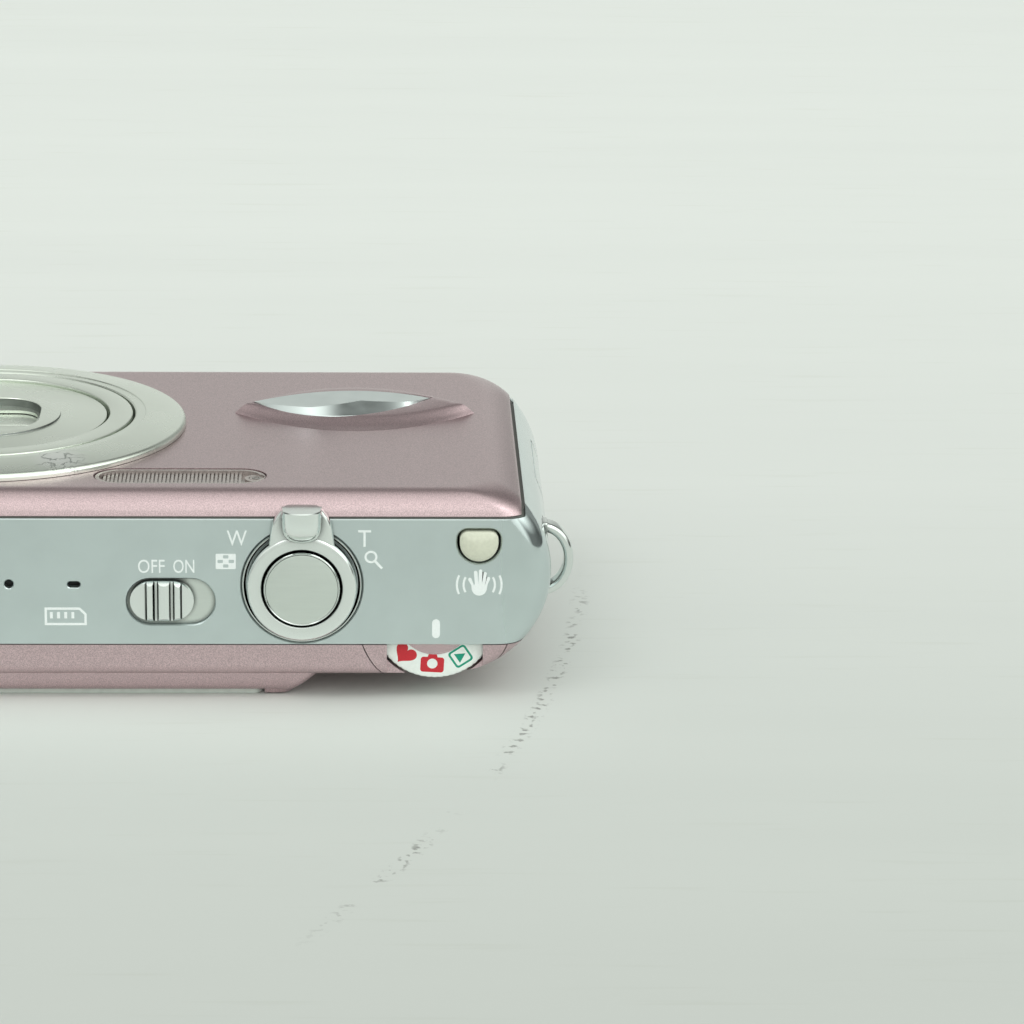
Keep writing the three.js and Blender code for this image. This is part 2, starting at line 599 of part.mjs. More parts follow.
function powerSwitch() {
  const group = topGroup(0, 0);
  const knobX = [2.75, 9.6];
  const knob = prism(stadium(knobX[0], knobX[1], 8.92, 13.43), -0.35, 0.35);
  const ridgeSpans = [[4.6, 5.3], [5.8, 7], [7.45, 8.15]];
  const ridges = ridgeSpans.map(([x0, x1]) => block(x0, x1, 9.1, 13.25, 0.2, 0.75));
  const stem = block(5.3, 6.9, 10.3, 11.8, -3, -0.2);
  piece('power_switch_knob', CHROME, join(knob, stem, ...ridges), group);
}

function stabiliserButton() {
  piece('stabiliser_button', CREAM, join(
    prism(stabiliserShape(0), -2, 0.35), prism(stabiliserShape(-0.5), 0.3, 0.6),
  ), topGroup(0, 0));
}

function modeDial() {
  const group = topGroup(DIAL.x, DIAL.z);
  const faceZ = -DIAL.faceDepth;
  const backZ = faceZ - DIAL.thick;
  const profile = [
    [1.2, backZ], [DIAL.r - 0.3, backZ], [DIAL.r, backZ + 0.3], [DIAL.r, faceZ - 0.2],
    [DIAL.r - 0.2, faceZ], [1.2, faceZ], [1.2, backZ],
  ];
  piece('mode_dial', DIAL_WHITE, turned(profile, 40), group);
  piece('mode_dial_pin', STEEL, rod(1, backZ - 1, faceZ - 0.1, 16), group);
}

// ---- Display and keys on the back ---------------------------------------------------------

function display() {
  const { x0, x1, halfY, thick } = WINDOW;
  piece('lcd_window', CLEAR_PLASTIC, prism(roundedRect(x0, x1, -halfY, halfY, 1.2), 0, thick, 3));
  const unit = DISPLAY;
  piece('lcd_module', DARK_WINDOW, block(unit.x0, unit.x1, -unit.halfY, unit.halfY, unit.z0, unit.z1));
}

function arcKey(middle) {
  const gap = 0.07;
  const half = Math.PI / 4;
  const shape = new THREE.Shape();
  shape.absarc(0, 0, KEYS.ringOuter, middle - half + gap / 2, middle + half - gap / 2, false);
  shape.absarc(0, 0, KEYS.ringInner, middle + half - gap, middle - half + gap, true);
  shape.closePath();
  return prism(shape, KEYS.low, KEYS.high, 8);
}

function keys() {
  const group = plainGroup(KEYS.x, KEYS.y);
  const names = ['cursor_key_right', 'cursor_key_down', 'cursor_key_left', 'cursor_key_up'];
  names.forEach((name, i) => piece(name, SATIN_SILVER, arcKey((Math.PI / 2) * i), group));
  piece('menu_button', SATIN_SILVER, rod(KEYS.centreR, KEYS.low, KEYS.high, 24), group);
  ['display_button', 'delete_button'].forEach((name, i) => {
    const spot = plainGroup(LOWER_KEYS.x[i], LOWER_KEYS.y);
    piece(name, SATIN_SILVER, rod(LOWER_KEYS.r, KEYS.low, KEYS.high, 20), spot);
  });
}

// ---- Inside -------------------------------------------------------------------------------

function chassisAndBoards() {
  const plate = prism(roundedRect(-37.5, 37.5, -22, 22, 7), 4.35, 4.85);
  const dialGap = block(27, 40, -30, -19, 0, 10);
  piece('chassis_plate', STEEL, cut(plate, dialGap));
  piece('main_circuit_board', CIRCUIT_GREEN, join(
    block(8.5, 38, -17.8, 22, 6, 6.9), block(14, 24, -6, 4, 5.2, 6.1),
  ));
}

function trayOpenAtBase(x0, x1, y0, y1, z0, z1, wall) {
  const outer = block(x0, x1, y0, y1, z0, z1);
  return cut(outer, block(x0 + wall, x1 - wall, y0 + wall, y1 + 1, z0 + wall, z1 - wall));
}

function batteryAndCard() {
  const b = BATTERY;
  const play = 0.3;
  const wall = 0.5;
  const out = play + wall;
  piece('battery_chamber', BLACK_PLASTIC,
    trayOpenAtBase(b.x0 - out, b.x1 + out, b.y0 - out, 23.6, b.z0 - out, b.z1 + out, wall));
  const pack = prism(roundedRect(b.x0, b.x1, b.z0, b.z1, b.cornerR), 0, b.y1 - b.y0, 3);
  piece('battery', CELL_GREY, at(ON_TOP, pack)).position.set(0, HALF_HEIGHT + b.y1, 0);
  const c = CARD;
  const slot = CARD_SLOT;
  piece('card_slot', STEEL, trayOpenAtBase(
    c.x0 - slot.side, c.x1 + slot.side, c.y0 - slot.behind, slot.mouthY,
    c.z0 - slot.over, c.z1 + slot.over, slot.wall,
  ));
  const outline = new THREE.Shape();
  outline.moveTo(c.x0, c.y1);
  outline.lineTo(c.x0, c.y0);
  outline.lineTo(c.x1 - c.clip, c.y0);
  outline.lineTo(c.x1, c.y0 + c.clip);
  outline.lineTo(c.x1, c.y1);
  outline.closePath();
  piece('memory_card', CELL_GREY, prism(outline, c.z0, c.z1));
  piece('battery_catch', CREAM, join(
    block(38, 39.4, 17, 22.4, 14, 16.4), block(37.75, 38.6, 21.2, 22.4, 14.4, 16),
  ));
}

function batteryDoor() {
  const { x0, x1, z0, z1 } = BATTERY_DOOR;
  const region = block(x0, x1, HALF_HEIGHT - 2, FAR, z0, z1);
  const pinRebate = block(0, FAR, 20, DOOR_PIN.y + DOOR_PIN.r + 0.08, DOOR_PIN.z - DOOR_PIN.r - 0.1, FAR);
  const lock = DOOR_LOCK;
  const lockPocket = block(lock.x0 - 0.3, lock.x1 + lock.travel + 0.3, HALF_HEIGHT - 0.6, FAR,
    lock.z0 - 0.3, lock.z1 + 0.3);
  piece('battery_door', SATIN_SILVER, cut(shell.intersect(region), pinRebate, lockPocket));
  const slider = block(lock.x0, lock.x1, HALF_HEIGHT - 0.45, HALF_HEIGHT - 0.05, lock.z0, lock.z1);
  piece('door_lock_slider', STEEL, slider);
  const along = new THREE.Matrix4().makeRotationY(Math.PI / 2);
  const pinRod = rod(DOOR_PIN.r, 0, x1 - x0 - 1.2, 12);
  const pin = at(moved(x0 + 0.6, DOOR_PIN.y, DOOR_PIN.z).multiply(along), pinRod);
  piece('door_hinge_pin', STEEL, pin);
}

function terminalDoor() {
  const { y0, y1, z0, z1 } = TERMINAL_DOOR;
  piece('terminal_door', SATIN_SILVER, shell.intersect(block(44, FAR, y0, y1, z0, z1)));
  const socket = cut(block(39.5, 44.4, -1, 8, 10.6, 15.8), block(41, 45, 0.2, 6.8, 11.8, 14.6));
  piece('av_connector', STEEL, socket);
}

function otherInsides() {
  const capacitor = at(ON_TOP, rod(3.7, -33, -8, 20));
  piece('flash_capacitor', BLACK_PLASTIC, capacitor).position.set(-41, 0, 13.4);
  const mic = topGroup(MIC_HOLE.x, MIC_HOLE.z);
  piece('microphone', BLACK_PLASTIC, rod(1.8, -3, -1.3, 16), mic);
  const speaker = topGroup(SPEAKER_HOLE.x, SPEAKER_HOLE.z);
  piece('speaker', BLACK_PLASTIC, rod(3.2, -3.6, -1.3, 20), speaker);
}

frontShell();
topSideBand();
rearShell();
dialGuard();
bottomPlate();
baseScrews();
tripodSocket();
strapEyelet();
grip();
flashAndLamp();
lens();
zoomDrive();
shutterAndZoom();
powerSwitch();
stabiliserButton();
modeDial();
display();
keys();
chassisAndBoards();
batteryAndCard();
batteryDoor();
terminalDoor();
otherInsides();

export default camera;
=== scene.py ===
"""Looks of the slim compact digital camera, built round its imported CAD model.

Sizes inside this file are in millimetres in the CAD frame: +Z out of the lens, -Y the top
plate, +X the shutter side. They are turned into metres where a mesh is made.
"""
import json
import math

import bmesh
import bpy
from mathutils import Matrix, Vector


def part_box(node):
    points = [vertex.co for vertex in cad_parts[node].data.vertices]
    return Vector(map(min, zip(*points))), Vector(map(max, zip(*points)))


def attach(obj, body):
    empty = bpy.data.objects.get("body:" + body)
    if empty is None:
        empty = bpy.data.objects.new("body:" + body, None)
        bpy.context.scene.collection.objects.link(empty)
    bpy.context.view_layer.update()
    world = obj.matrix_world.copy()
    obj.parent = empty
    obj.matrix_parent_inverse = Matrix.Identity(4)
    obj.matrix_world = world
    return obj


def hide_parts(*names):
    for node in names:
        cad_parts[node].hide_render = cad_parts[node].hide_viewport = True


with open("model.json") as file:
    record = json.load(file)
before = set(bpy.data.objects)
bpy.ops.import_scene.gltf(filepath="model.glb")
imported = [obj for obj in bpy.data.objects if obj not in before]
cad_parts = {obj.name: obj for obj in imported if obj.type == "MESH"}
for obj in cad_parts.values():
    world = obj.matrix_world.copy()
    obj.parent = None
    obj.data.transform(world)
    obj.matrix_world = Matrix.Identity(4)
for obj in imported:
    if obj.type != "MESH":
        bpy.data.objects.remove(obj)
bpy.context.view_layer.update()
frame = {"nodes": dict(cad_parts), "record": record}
MM = 0.001


def node_box(name):
    """Lowest and highest corner of a CAD node, in millimetres."""
    low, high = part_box(name)
    return Vector(low) / MM, Vector(high) / MM


# ---- Driving dimensions, taken from the frame ------------------------------------------------

BAND_LOW, BAND_HIGH = node_box("top_side_band")
HALF_HEIGHT = BAND_HIGH.y
END_ARC_R = 11.0
END_ARC_X = BAND_HIGH.x - END_ARC_R
END_ARC_Z = 13.6
END_FILLET_R = 5.2
END_FILLET_FROM_Z = 21.2
REAR_Z = 2.8
FRONT_Z = node_box("front_shell")[1].z
FRONT_BEVEL_Y = 2.9
FRONT_BEVEL_Z = 2.8
REAR_FILLET = 1.3
TOP_CORNER_R = 3.0
BASE_CORNER_X = 4.2
BASE_CORNER_Y = 9.0
WALL = 1.0
SEAM = 0.15
BAND_BOTTOM_Z = BAND_LOW.z - SEAM
BAND_TOP_Z = node_box("front_shell")[0].z - SEAM
CHEEK_X = node_box("front_shell")[1].x + SEAM
FAR = 80.0
SIDE_GAP = 0.4
HAIRLINE = 0.02
FRONT_SEAM = 0.1

LENS = (node_box("lens_trim_ring")[0] + node_box("lens_trim_ring")[1]) / 2
SHUTTER = (node_box("shutter_button")[0] + node_box("shutter_button")[1]) / 2
DIAL = (node_box("mode_dial")[0] + node_box("mode_dial")[1]) / 2
DIAL_R = (node_box("mode_dial")[1].x - node_box("mode_dial")[0].x) / 2
KEYS = (node_box("menu_button")[0] + node_box("menu_button")[1]) / 2

GUARD_R = 8.0
POWER_RECESS = (2.48, 11.75, 8.5, 13.57)
MIC_HOLE = (-9.78, 12.94)
SPEAKER_HOLE = (-3.01, 12.89)
LEVER_RECESS_R = 6.35
BUTTON_ROOM_R = 4.12
FLASH_END_R = 2.7
PRINT = 0.025

# ---- Mesh building ---------------------------------------------------------------------------


def flat(x, y, h):
    """A place for outlines drawn in plan: height is along +Z."""
    return (x, y, h)


def on_top(x, y, h):
    """Plan (x, z) on the top plate, height outwards."""
    return (x, -HALF_HEIGHT - h, y)


def on_base(x, y, h):
    """Plan (x, z) on the base plate, height outwards."""
    return (x, HALF_HEIGHT + h, y)


def around(centre, place):
    """The same place with its plan origin moved to centre."""
    return lambda x, y, h: place(x + centre[0], y + centre[1], h)


AT_SHUTTER = around((SHUTTER.x, SHUTTER.z), on_top)
AT_DIAL = around((DIAL.x, DIAL.z), on_top)
AT_LENS = around(LENS.xy, flat)
AT_KEYS = around(KEYS.xy, flat)


def new_object(name, points, faces, sharp_degrees=32.0):
    """A closed mesh from points in millimetres, with its normals out and its creases sharp."""
    mesh = bpy.data.meshes.new(name)
    mesh.from_pydata([Vector(p) * MM for p in points], [], faces)
    work = bmesh.new()
    work.from_mesh(mesh)
    bmesh.ops.remove_doubles(work, verts=work.verts, dist=2e-7)
    bmesh.ops.dissolve_degenerate(work, edges=work.edges, dist=1e-7)
    bmesh.ops.recalc_face_normals(work, faces=work.faces)
    work.to_mesh(mesh)
    work.free()
    obj = bpy.data.objects.new(name, mesh)
    bpy.context.scene.collection.objects.link(obj)
    smooth(obj, sharp_degrees)
    return obj


def smooth(obj, sharp_degrees=32.0):
    mesh = obj.data
    mesh.polygons.foreach_set("use_smooth", [True] * len(mesh.polygons))
    mesh.set_sharp_from_angle(angle=math.radians(sharp_degrees))


def loft(name, rings, sharp_degrees=32.0):
    """Rings with the same number of points, skinned and capped at both ends."""
    count = len(rings[0])
    points = [p for ring in rings for p in ring]
    faces = []
    for level in range(len(rings) - 1):
        base = level * count
        for i in range(count):
            j = (i + 1) % count
            faces.append((base + i, base + j, base + count + j, base + count + i))
    last = (len(rings) - 1) * count
    faces.append(tuple(range(count - 1, -1, -1)))
    faces.append(tuple(range(last, last + count)))
    return new_object(name, points, faces, sharp_degrees)


def stack(name, outline, levels, place=flat):
    """outline(grow) at each (grow, height) level."""
    return loft(name, [[place(x, y, h) for x, y in outline(grow)] for grow, h in levels])


def prism(name, outline, low, high, place=flat):
    """The outline between two heights."""
    return stack(name, outline, [(0, low), (0, high)], place)


def soft_edges(low, high, bevel=0.12, steps=3):
    """Levels of a slab from low to high with both rims rounded."""
    levels = []
    for i in range(steps + 1):
        a = math.pi / 2 * i / steps
        levels.append((-bevel * (1 - math.sin(a)), low + bevel * (1 - math.cos(a))))
    for i in range(steps + 1):
        a = math.pi / 2 * i / steps
        levels.append((-bevel * (1 - math.cos(a)), high - bevel * (1 - math.sin(a))))
    levels.append((-bevel - 0.05, high))
    return levels


def turned(name, profile, place=flat, count=96, round_by=0.0):
    """A closed [radius, height] profile turned about its axis, corners rounded by round_by."""
    if round_by:
        profile = rounded(profile, round_by)
    points = []
    for r, h in profile:
        for i in range(count):
            a = 2 * math.pi * i / count
            points.append(place(r * math.cos(a), r * math.sin(a), h))
    faces = []
    for level in range(len(profile)):
        base, above = level * count, ((level + 1) % len(profile)) * count
        for i in range(count):
            j = (i + 1) % count
            faces.append((base + i, base + j, above + j, above + i))
    return new_object(name, points, faces)


def rounded(profile, radius, steps=3):
    """The closed profile with each corner off the axis replaced by a small curve."""
    out = []
    for i, corner in enumerate(profile):
        before, after = profile[i - 1], profile[(i + 1) % len(profile)]
        if corner[0] == 0:
            out.append(corner)
            continue
        here = Vector(corner)
        back, ahead = Vector(before) - here, Vector(after) - here
        start = here + back.normalized() * min(radius, back.length * 0.45)
        end = here + ahead.normalized() * min(radius, ahead.length * 0.45)
        for k in range(steps + 1):
            t = k / steps
            p = start * (1 - t) ** 2 + here * (2 * t * (1 - t)) + end * t ** 2
            out.append((p.x, p.y))
    return out


def arc(cx, cy, rx, ry, start, end, steps):
    for i in range(steps + 1):
        a = math.radians(start + (end - start) * i / steps)
        yield (cx + rx * math.cos(a), cy + ry * math.sin(a))


def circle(r, count=64):
    return lambda grow: list(arc(0, 0, r + grow, r + grow, 0, 360 - 360 / count, count - 1))


def stadium(x0, x1, y0, y1):
    def outline(grow):
        r = (y1 - y0) / 2
        middle = (y0 + y1) / 2
        right = arc(x1 - r, middle, r + grow, r + grow, -90, 90, 16)
        left = arc(x0 + r, middle, r + grow, r + grow, 90, 270, 16)
        return [*right, *left]
    return outline


def polygon(points):
    return lambda grow: list(points)


def rounded_rect(x0, x1, y0, y1, r):
    def outline(grow):
        spots = [(x1 - r, y0 + r, -90), (x1 - r, y1 - r, 0), (x0 + r, y1 - r, 90), (x0 + r, y0 + r, 180)]
        ring = []
        for cx, cy, start in spots:
            ring += arc(cx, cy, max(r + grow, 0.01), max(r + grow, 0.01), start, start + 90, 8)
        return ring
    return outline


def block(name, x0, x1, y0, y1, z0, z1):
    ring = [(x0, y0), (x1, y0), (x1, y1), (x0, y1)]
    return loft(name, [[(x, y, z) for x, y in ring] for z in (z0, z1)])


def carve(obj, cutters, operation="DIFFERENCE"):
    """Cuts (or joins) closed meshes in one exact boolean, and drops the cutters."""
    tools = bpy.data.collections.new("tools")
    for cutter in cutters:
        tools.objects.link(cutter)
    change = obj.modifiers.new("carve", "BOOLEAN")
    change.operation = operation
    change.solver = "EXACT"
    change.operand_type = "COLLECTION"
    change.collection = tools
    bpy.context.scene.collection.children.link(tools)
    settle(obj)
    bpy.data.collections.remove(tools)
    for cutter in cutters:
        bpy.data.objects.remove(cutter)
    smooth(obj)
    return obj


def settle(obj):
    """Applies the object's modifiers to its mesh."""
    graph = bpy.context.evaluated_depsgraph_get()
    mesh = bpy.data.meshes.new_from_object(obj.evaluated_get(graph))
    obj.modifiers.clear()
    old = obj.data
    obj.data = mesh
    bpy.data.meshes.remove(old)


def merge(name, objects):
    """One object holding the meshes of several."""
    mesh = bpy.data.meshes.new(name)
    work = bmesh.new()
    for obj in objects:
        work.from_mesh(obj.data)
        bpy.data.objects.remove(obj)
    work.to_mesh(mesh)
    work.free()
    whole = bpy.data.objects.new(name, mesh)
    bpy.context.scene.collection.objects.link(whole)
    smooth(whole)
    return whole


# ---- Materials -------------------------------------------------------------------------------


class Graph:
    """A node tree with helpers that add nodes to it."""

    def __init__(self, tree, coordinates):
        self.nodes = tree.nodes
        self.links = tree.links
        self.place = self.node("ShaderNodeTexCoord").outputs[coordinates]

    def node(self, kind, **inputs):
        node = self.nodes.new(kind)
        for key, value in inputs.items():
            node.inputs[key.replace("_", " ")].default_value = value
        return node

    def feed(self, value, socket):
        """Gives a socket a number, a vector or a link."""
        if isinstance(value, (float, tuple)):
            socket.default_value = value
        else:
            self.links.new(value, socket)

    def ramp(self, value, stops):
        ramp = self.node("ShaderNodeValToRGB")
        ramp.color_ramp.elements.remove(ramp.color_ramp.elements[1])
        for i, (at, color) in enumerate(stops):
            stop = ramp.color_ramp.elements[0] if i == 0 else ramp.color_ramp.elements.new(at)
            stop.position = at
            stop.color = (*color, 1) if isinstance(color, tuple) else (color, color, color, 1)
        self.links.new(value, ramp.inputs["Fac"])
        return ramp.outputs["Color"]

    def remap(self, value, low, high, out_low, out_high):
        """value from low..high to out_low..out_high, held at both ends."""
        node = self.node("ShaderNodeMapRange", From_Min=low, From_Max=high, To_Min=out_low, To_Max=out_high)
        self.links.new(value, node.inputs["Value"])
        return node.outputs["Result"]

    def math(self, operation, first, second=0.0):
        node = self.node("ShaderNodeMath")
        node.operation = operation
        self.feed(first, node.inputs[0])
        self.feed(second, node.inputs[1])
        return node.outputs["Value"]

    def product(self, *values):
        whole = values[0]
        for value in values[1:]:
            whole = self.math("MULTIPLY", whole, value)
        return whole

    def vector_math(self, operation, first, second, socket=1):
        node = self.node("ShaderNodeVectorMath")
        node.operation = operation
        self.feed(first, node.inputs[0])
        self.feed(second, node.inputs[socket])
        return node.outputs

    def axis(self, name):
        split = self.node("ShaderNodeSeparateXYZ")
        self.links.new(self.place, split.inputs["Vector"])
        return split.outputs[name]

    def mix(self, factor, first, second, blend="MIX"):
        """A colour mix; first and second are sockets or colours."""
        node = self.node("ShaderNodeMix")
        node.data_type = "RGBA"
        node.blend_type = blend
        for value, socket in ((factor, "Factor"), (first, "A"), (second, "B")):
            if isinstance(value, tuple):
                node.inputs[socket].default_value = (*value, 1)
            else:
                self.feed(value, node.inputs[socket])
        return node.outputs["Result"]


class Look(Graph):
    """A node material with a Principled shader and helpers to add procedural detail."""

    def __init__(self, name, color, roughness, metallic=0.0, **settings):
        self.material = bpy.data.materials.new(name)
        self.material.use_nodes = True
        super().__init__(self.material.node_tree, "Object")
        self.shader = self.nodes["Principled BSDF"]
        self.color = color
        self.normal = None
        settings.update(Base_Color=(*color, 1), Roughness=roughness, Metallic=metallic)
        for key, value in settings.items():
            self.shader.inputs[key.replace("_", " ")].default_value = value

    def noise(self, per_mm, detail=2.0, stretch=(1, 1, 1)):
        mapping = self.node("ShaderNodeMapping", Scale=stretch)
        self.links.new(self.place, mapping.inputs["Vector"])
        noise = self.node("ShaderNodeTexNoise", Scale=per_mm / MM, Detail=detail)
        self.links.new(mapping.outputs["Vector"], noise.inputs["Vector"])
        return noise.outputs["Fac"]

    def shade_crevices(self, distance_mm=0.9, darkest=0.2):
        """Paints shade into the base colour, darker where the surface faces close walls."""
        room = self.node("ShaderNodeAmbientOcclusion", Distance=distance_mm * MM)
        room.samples = 8
        light = self.remap(room.outputs["AO"], 0.45, 0.92, darkest, 1.0)
        base = self.shader.inputs["Base Color"]
        first = base.links[0].from_socket if base.links else self.color
        self.links.new(self.mix(1.0, first, light, "MULTIPLY"), base)

    def vary_color(self, value, amount, low=0.35, high=0.65):
        dark = tuple(c * (1 - amount) for c in self.color)
        light = tuple(min(1.0, c * (1 + amount)) for c in self.color)
        self.links.new(self.ramp(value, [(low, dark), (high, light)]), self.shader.inputs["Base Color"])

    def vary_roughness(self, value, low, high):
        self.links.new(self.ramp(value, [(0.3, low), (0.7, high)]), self.shader.inputs["Roughness"])

    def bump(self, value, strength, depth_mm=0.02):
        bump = self.node("ShaderNodeBump", Strength=strength, Distance=depth_mm * MM)
        self.links.new(value, bump.inputs["Height"])
        if self.normal:
            self.links.new(self.normal, bump.inputs["Normal"])
        self.normal = bump.outputs["Normal"]
        self.links.new(self.normal, self.shader.inputs["Normal"])


def pink_paint():
    """Metallic pink paint: fine bright flakes under a clear coat, faintly mottled."""
    look = Look("pink_paint", (0.575, 0.432, 0.455), 0.37, 0.88, Coat_Weight=0.5, Coat_Roughness=0.25)
    flakes = look.noise(12.0, 1.0)
    look.vary_color(flakes, 0.2, 0.38, 0.64)
    look.bump(flakes, 0.4, 0.009)
    look.bump(look.noise(0.35, 3.0), 0.04, 0.02)
    return look.material


def satin_silver():
    """Fine blasted aluminium of the top plate, polished smoother towards the ends."""
    look = Look("satin_silver", (0.60, 0.675, 0.675), 0.34, 0.92)
    distance = look.math("ABSOLUTE", look.axis("X"))
    at_end = look.remap(distance, 0.0412, 0.0430, 0.0, 1.0)
    at_front = look.remap(look.axis("Z"), 0.001, 0.015, 0.0, 0.26)
    polished = look.math("SUBTRACT", 0.34, look.product(at_end, at_front))
    look.links.new(polished, look.shader.inputs["Roughness"])
    look.vary_color(look.noise(0.25, 4.0), 0.02)
    look.bump(look.noise(11.0, 1.0), 0.10, 0.006)
    return look.material


def satin_chrome():
    look = Look("satin_chrome", (0.86, 0.90, 0.88), 0.15, 1.0)
    look.vary_roughness(look.noise(0.8, 4.0), 0.13, 0.18)
    look.bump(look.noise(10.0, 1.0), 0.05, 0.004)
    look.shade_crevices(1.1, 0.12)
    return look.material


def chrome():
    look = Look("chrome", (0.76, 0.80, 0.78), 0.09, 1.0)
    look.vary_roughness(look.noise(0.6, 5.0), 0.06, 0.13)
    look.bump(look.noise(1.2, 3.0), 0.04, 0.004)
    look.shade_crevices(0.8, 0.15)
    return look.material


def insert_chrome():
    look = Look("insert_chrome", (0.78, 0.84, 0.84), 0.3, 1.0)
    look.vary_roughness(look.noise(0.5, 3.0), 0.28, 0.36)
    look.bump(look.noise(0.8, 2.0), 0.03, 0.004)
    return look.material


def barrel_silver():
    """Turned silver of the lens rings, with faint lathe lines and one scratched patch that a painted
    highlight lightens.
    """
    look = Look("barrel_silver", (0.86, 0.91, 0.83), 0.28, 0.9)
    shifted = look.node("ShaderNodeMapping")
    shifted.inputs["Location"].default_value = (-LENS.x * MM, -LENS.y * MM, 0)
    look.links.new(look.place, shifted.inputs["Vector"])
    rings = look.node("ShaderNodeTexWave", Scale=0.9 / MM, Distortion=0.0)
    rings.wave_type = "RINGS"
    rings.rings_direction = "Z"
    look.links.new(shifted.outputs["Vector"], rings.inputs["Vector"])
    look.vary_roughness(look.noise(0.15, 4.0), 0.25, 0.31)
    look.bump(rings.outputs["Fac"], 0.03, 0.003)
    wear_and_sheen_spot = (-5.0 * MM, -16.2 * MM, 23.4 * MM)
    away = look.vector_math("DISTANCE", look.place, wear_and_sheen_spot)["Value"]
    wear_and_sheen = look.remap(away, 0.0012, 0.0034, 1.0, 0.0)
    scratches = look.ramp(look.noise(0.55, 3.0), [(0.44, 0.0), (0.475, 1.0), (0.485, 1.0), (0.52, 0.0)])
    scratched = look.product(wear_and_sheen, scratches)
    # painted highlight: inside the scratched patch the base colour is lightened to near white
    painted_sheen_color = look.mix(wear_and_sheen, look.color, (0.98, 1.0, 0.97))
    look.links.new(look.mix(scratched, painted_sheen_color, (0.40, 0.43, 0.40)), look.shader.inputs["Base Color"])
    look.bump(scratched, 0.8, 0.05)
    return look.material


def brushed_button():
    """The shutter disc: fine straight brushing, and painted shade where it faces close walls."""
    look = Look("brushed_button", (0.68, 0.73, 0.69), 0.32, 0.9)
    strokes = look.noise(3.0, 3.0, (0.08, 1, 1))
    look.vary_color(strokes, 0.012)
    look.vary_roughness(strokes, 0.28, 0.34)
    look.bump(strokes, 0.04, 0.004)
    look.shade_crevices(0.6, 0.3)
    return look.material


def plastic(name, color, roughness, grain=4.0, amount=0.04, coat=0.0):
    look = Look(name, color, roughness, 0.0, Coat_Weight=coat)
    texture = look.noise(grain, 2.0)
    look.vary_color(texture, amount)
    look.bump(texture, 0.06, 0.01)
    return look.material


def steel(name="steel", color=(0.55, 0.56, 0.57)):
    look = Look(name, color, 0.34, 1.0)
    look.vary_color(look.noise(2.0, 4.0, (0.1, 1, 1)), 0.08)
    look.bump(look.noise(4.0, 3.0, (0.1, 1, 1)), 0.08, 0.006)
    return look.material


def screen_face():
    """Dark display behind clear acrylic: glossy, with faint handling marks."""
    look = Look("screen_face", (0.012, 0.013, 0.016), 0.06, 0.0, Coat_Weight=1.0, Coat_Roughness=0.03)
    look.vary_color(look.noise(0.1, 3.0), 0.15)
    look.vary_roughness(look.noise(0.25, 6.0), 0.04, 0.16)
    return look.material


def circuit_board():
    look = Look("circuit_board", (0.02, 0.12, 0.05), 0.45, 0.0)
    look.vary_color(look.noise(0.8, 3.0), 0.35)
    look.bump(look.noise(1.5, 2.0), 0.15, 0.03)
    return look.material


# Colour, roughness, grains per mm, variation of the colour, coat
PLASTICS = {
    "black_plastic": ((0.02, 0.02, 0.022), 0.5),
    "clear_cover": ((0.62, 0.66, 0.62), 0.18, 1.0, 0.05, 0.6),
    "flash_lens": ((0.33, 0.28, 0.265), 0.22, 2.0, 0.15, 0.3),
    "lamp_lens": ((0.10, 0.08, 0.07), 0.15, 2.0, 0.1, 0.6),
    "optics": ((0.05, 0.06, 0.09), 0.04, 0.4, 0.2, 1.0),
    "cream_plastic": ((0.66, 0.67, 0.55), 0.22, 3.0, 0.03, 0.5),
    "dial_white": ((0.84, 0.88, 0.85), 0.4, 3.0, 0.02),
    "cell_grey": ((0.08, 0.09, 0.10), 0.5),
    "print_white": ((0.86, 0.90, 0.90), 0.45, 5.0, 0.02),
    "print_red": ((0.56, 0.018, 0.03), 0.6, 5.0, 0.05),
    "print_green": ((0.0, 0.30, 0.19), 0.4, 5.0, 0.05),
    # dark_gap and seam_grey are painted shade: dark fills set inside the seams
    "dark_gap": ((0.03, 0.03, 0.03), 0.6),
    "seam_grey": ((0.11, 0.115, 0.105), 0.5),
}
LOOKS = {
    "pink_metal": pink_paint(),
    "satin_silver": satin_silver(),
    "chrome": chrome(),
    "satin_chrome": satin_chrome(),
    "insert_chrome": insert_chrome(),
    "barrel_silver": barrel_silver(),
    # dark steel laid on shaded recess walls as painted shade
    "dark_silver": steel("dark_silver", (0.22, 0.235, 0.225)),
    "brushed_button": brushed_button(),
    "steel": steel(),
    "screen": screen_face(),
    "circuit_board": circuit_board(),
    **{name: plastic(name, *values) for name, values in PLASTICS.items()},
}


def finish_piece(obj, body, slot, replaced=(), look=None):
    """Gives a piece its material, chosen by look or else by slot, and its body, and hides the CAD nodes it
    stands for.
    """
    if not obj.data.materials:
        obj.data.materials.append(LOOKS[look or slot])
    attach(obj, body)
    if replaced:
        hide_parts(*replaced)
    return obj


# ---- Camera, light and floor -----------------------------------------------------------------


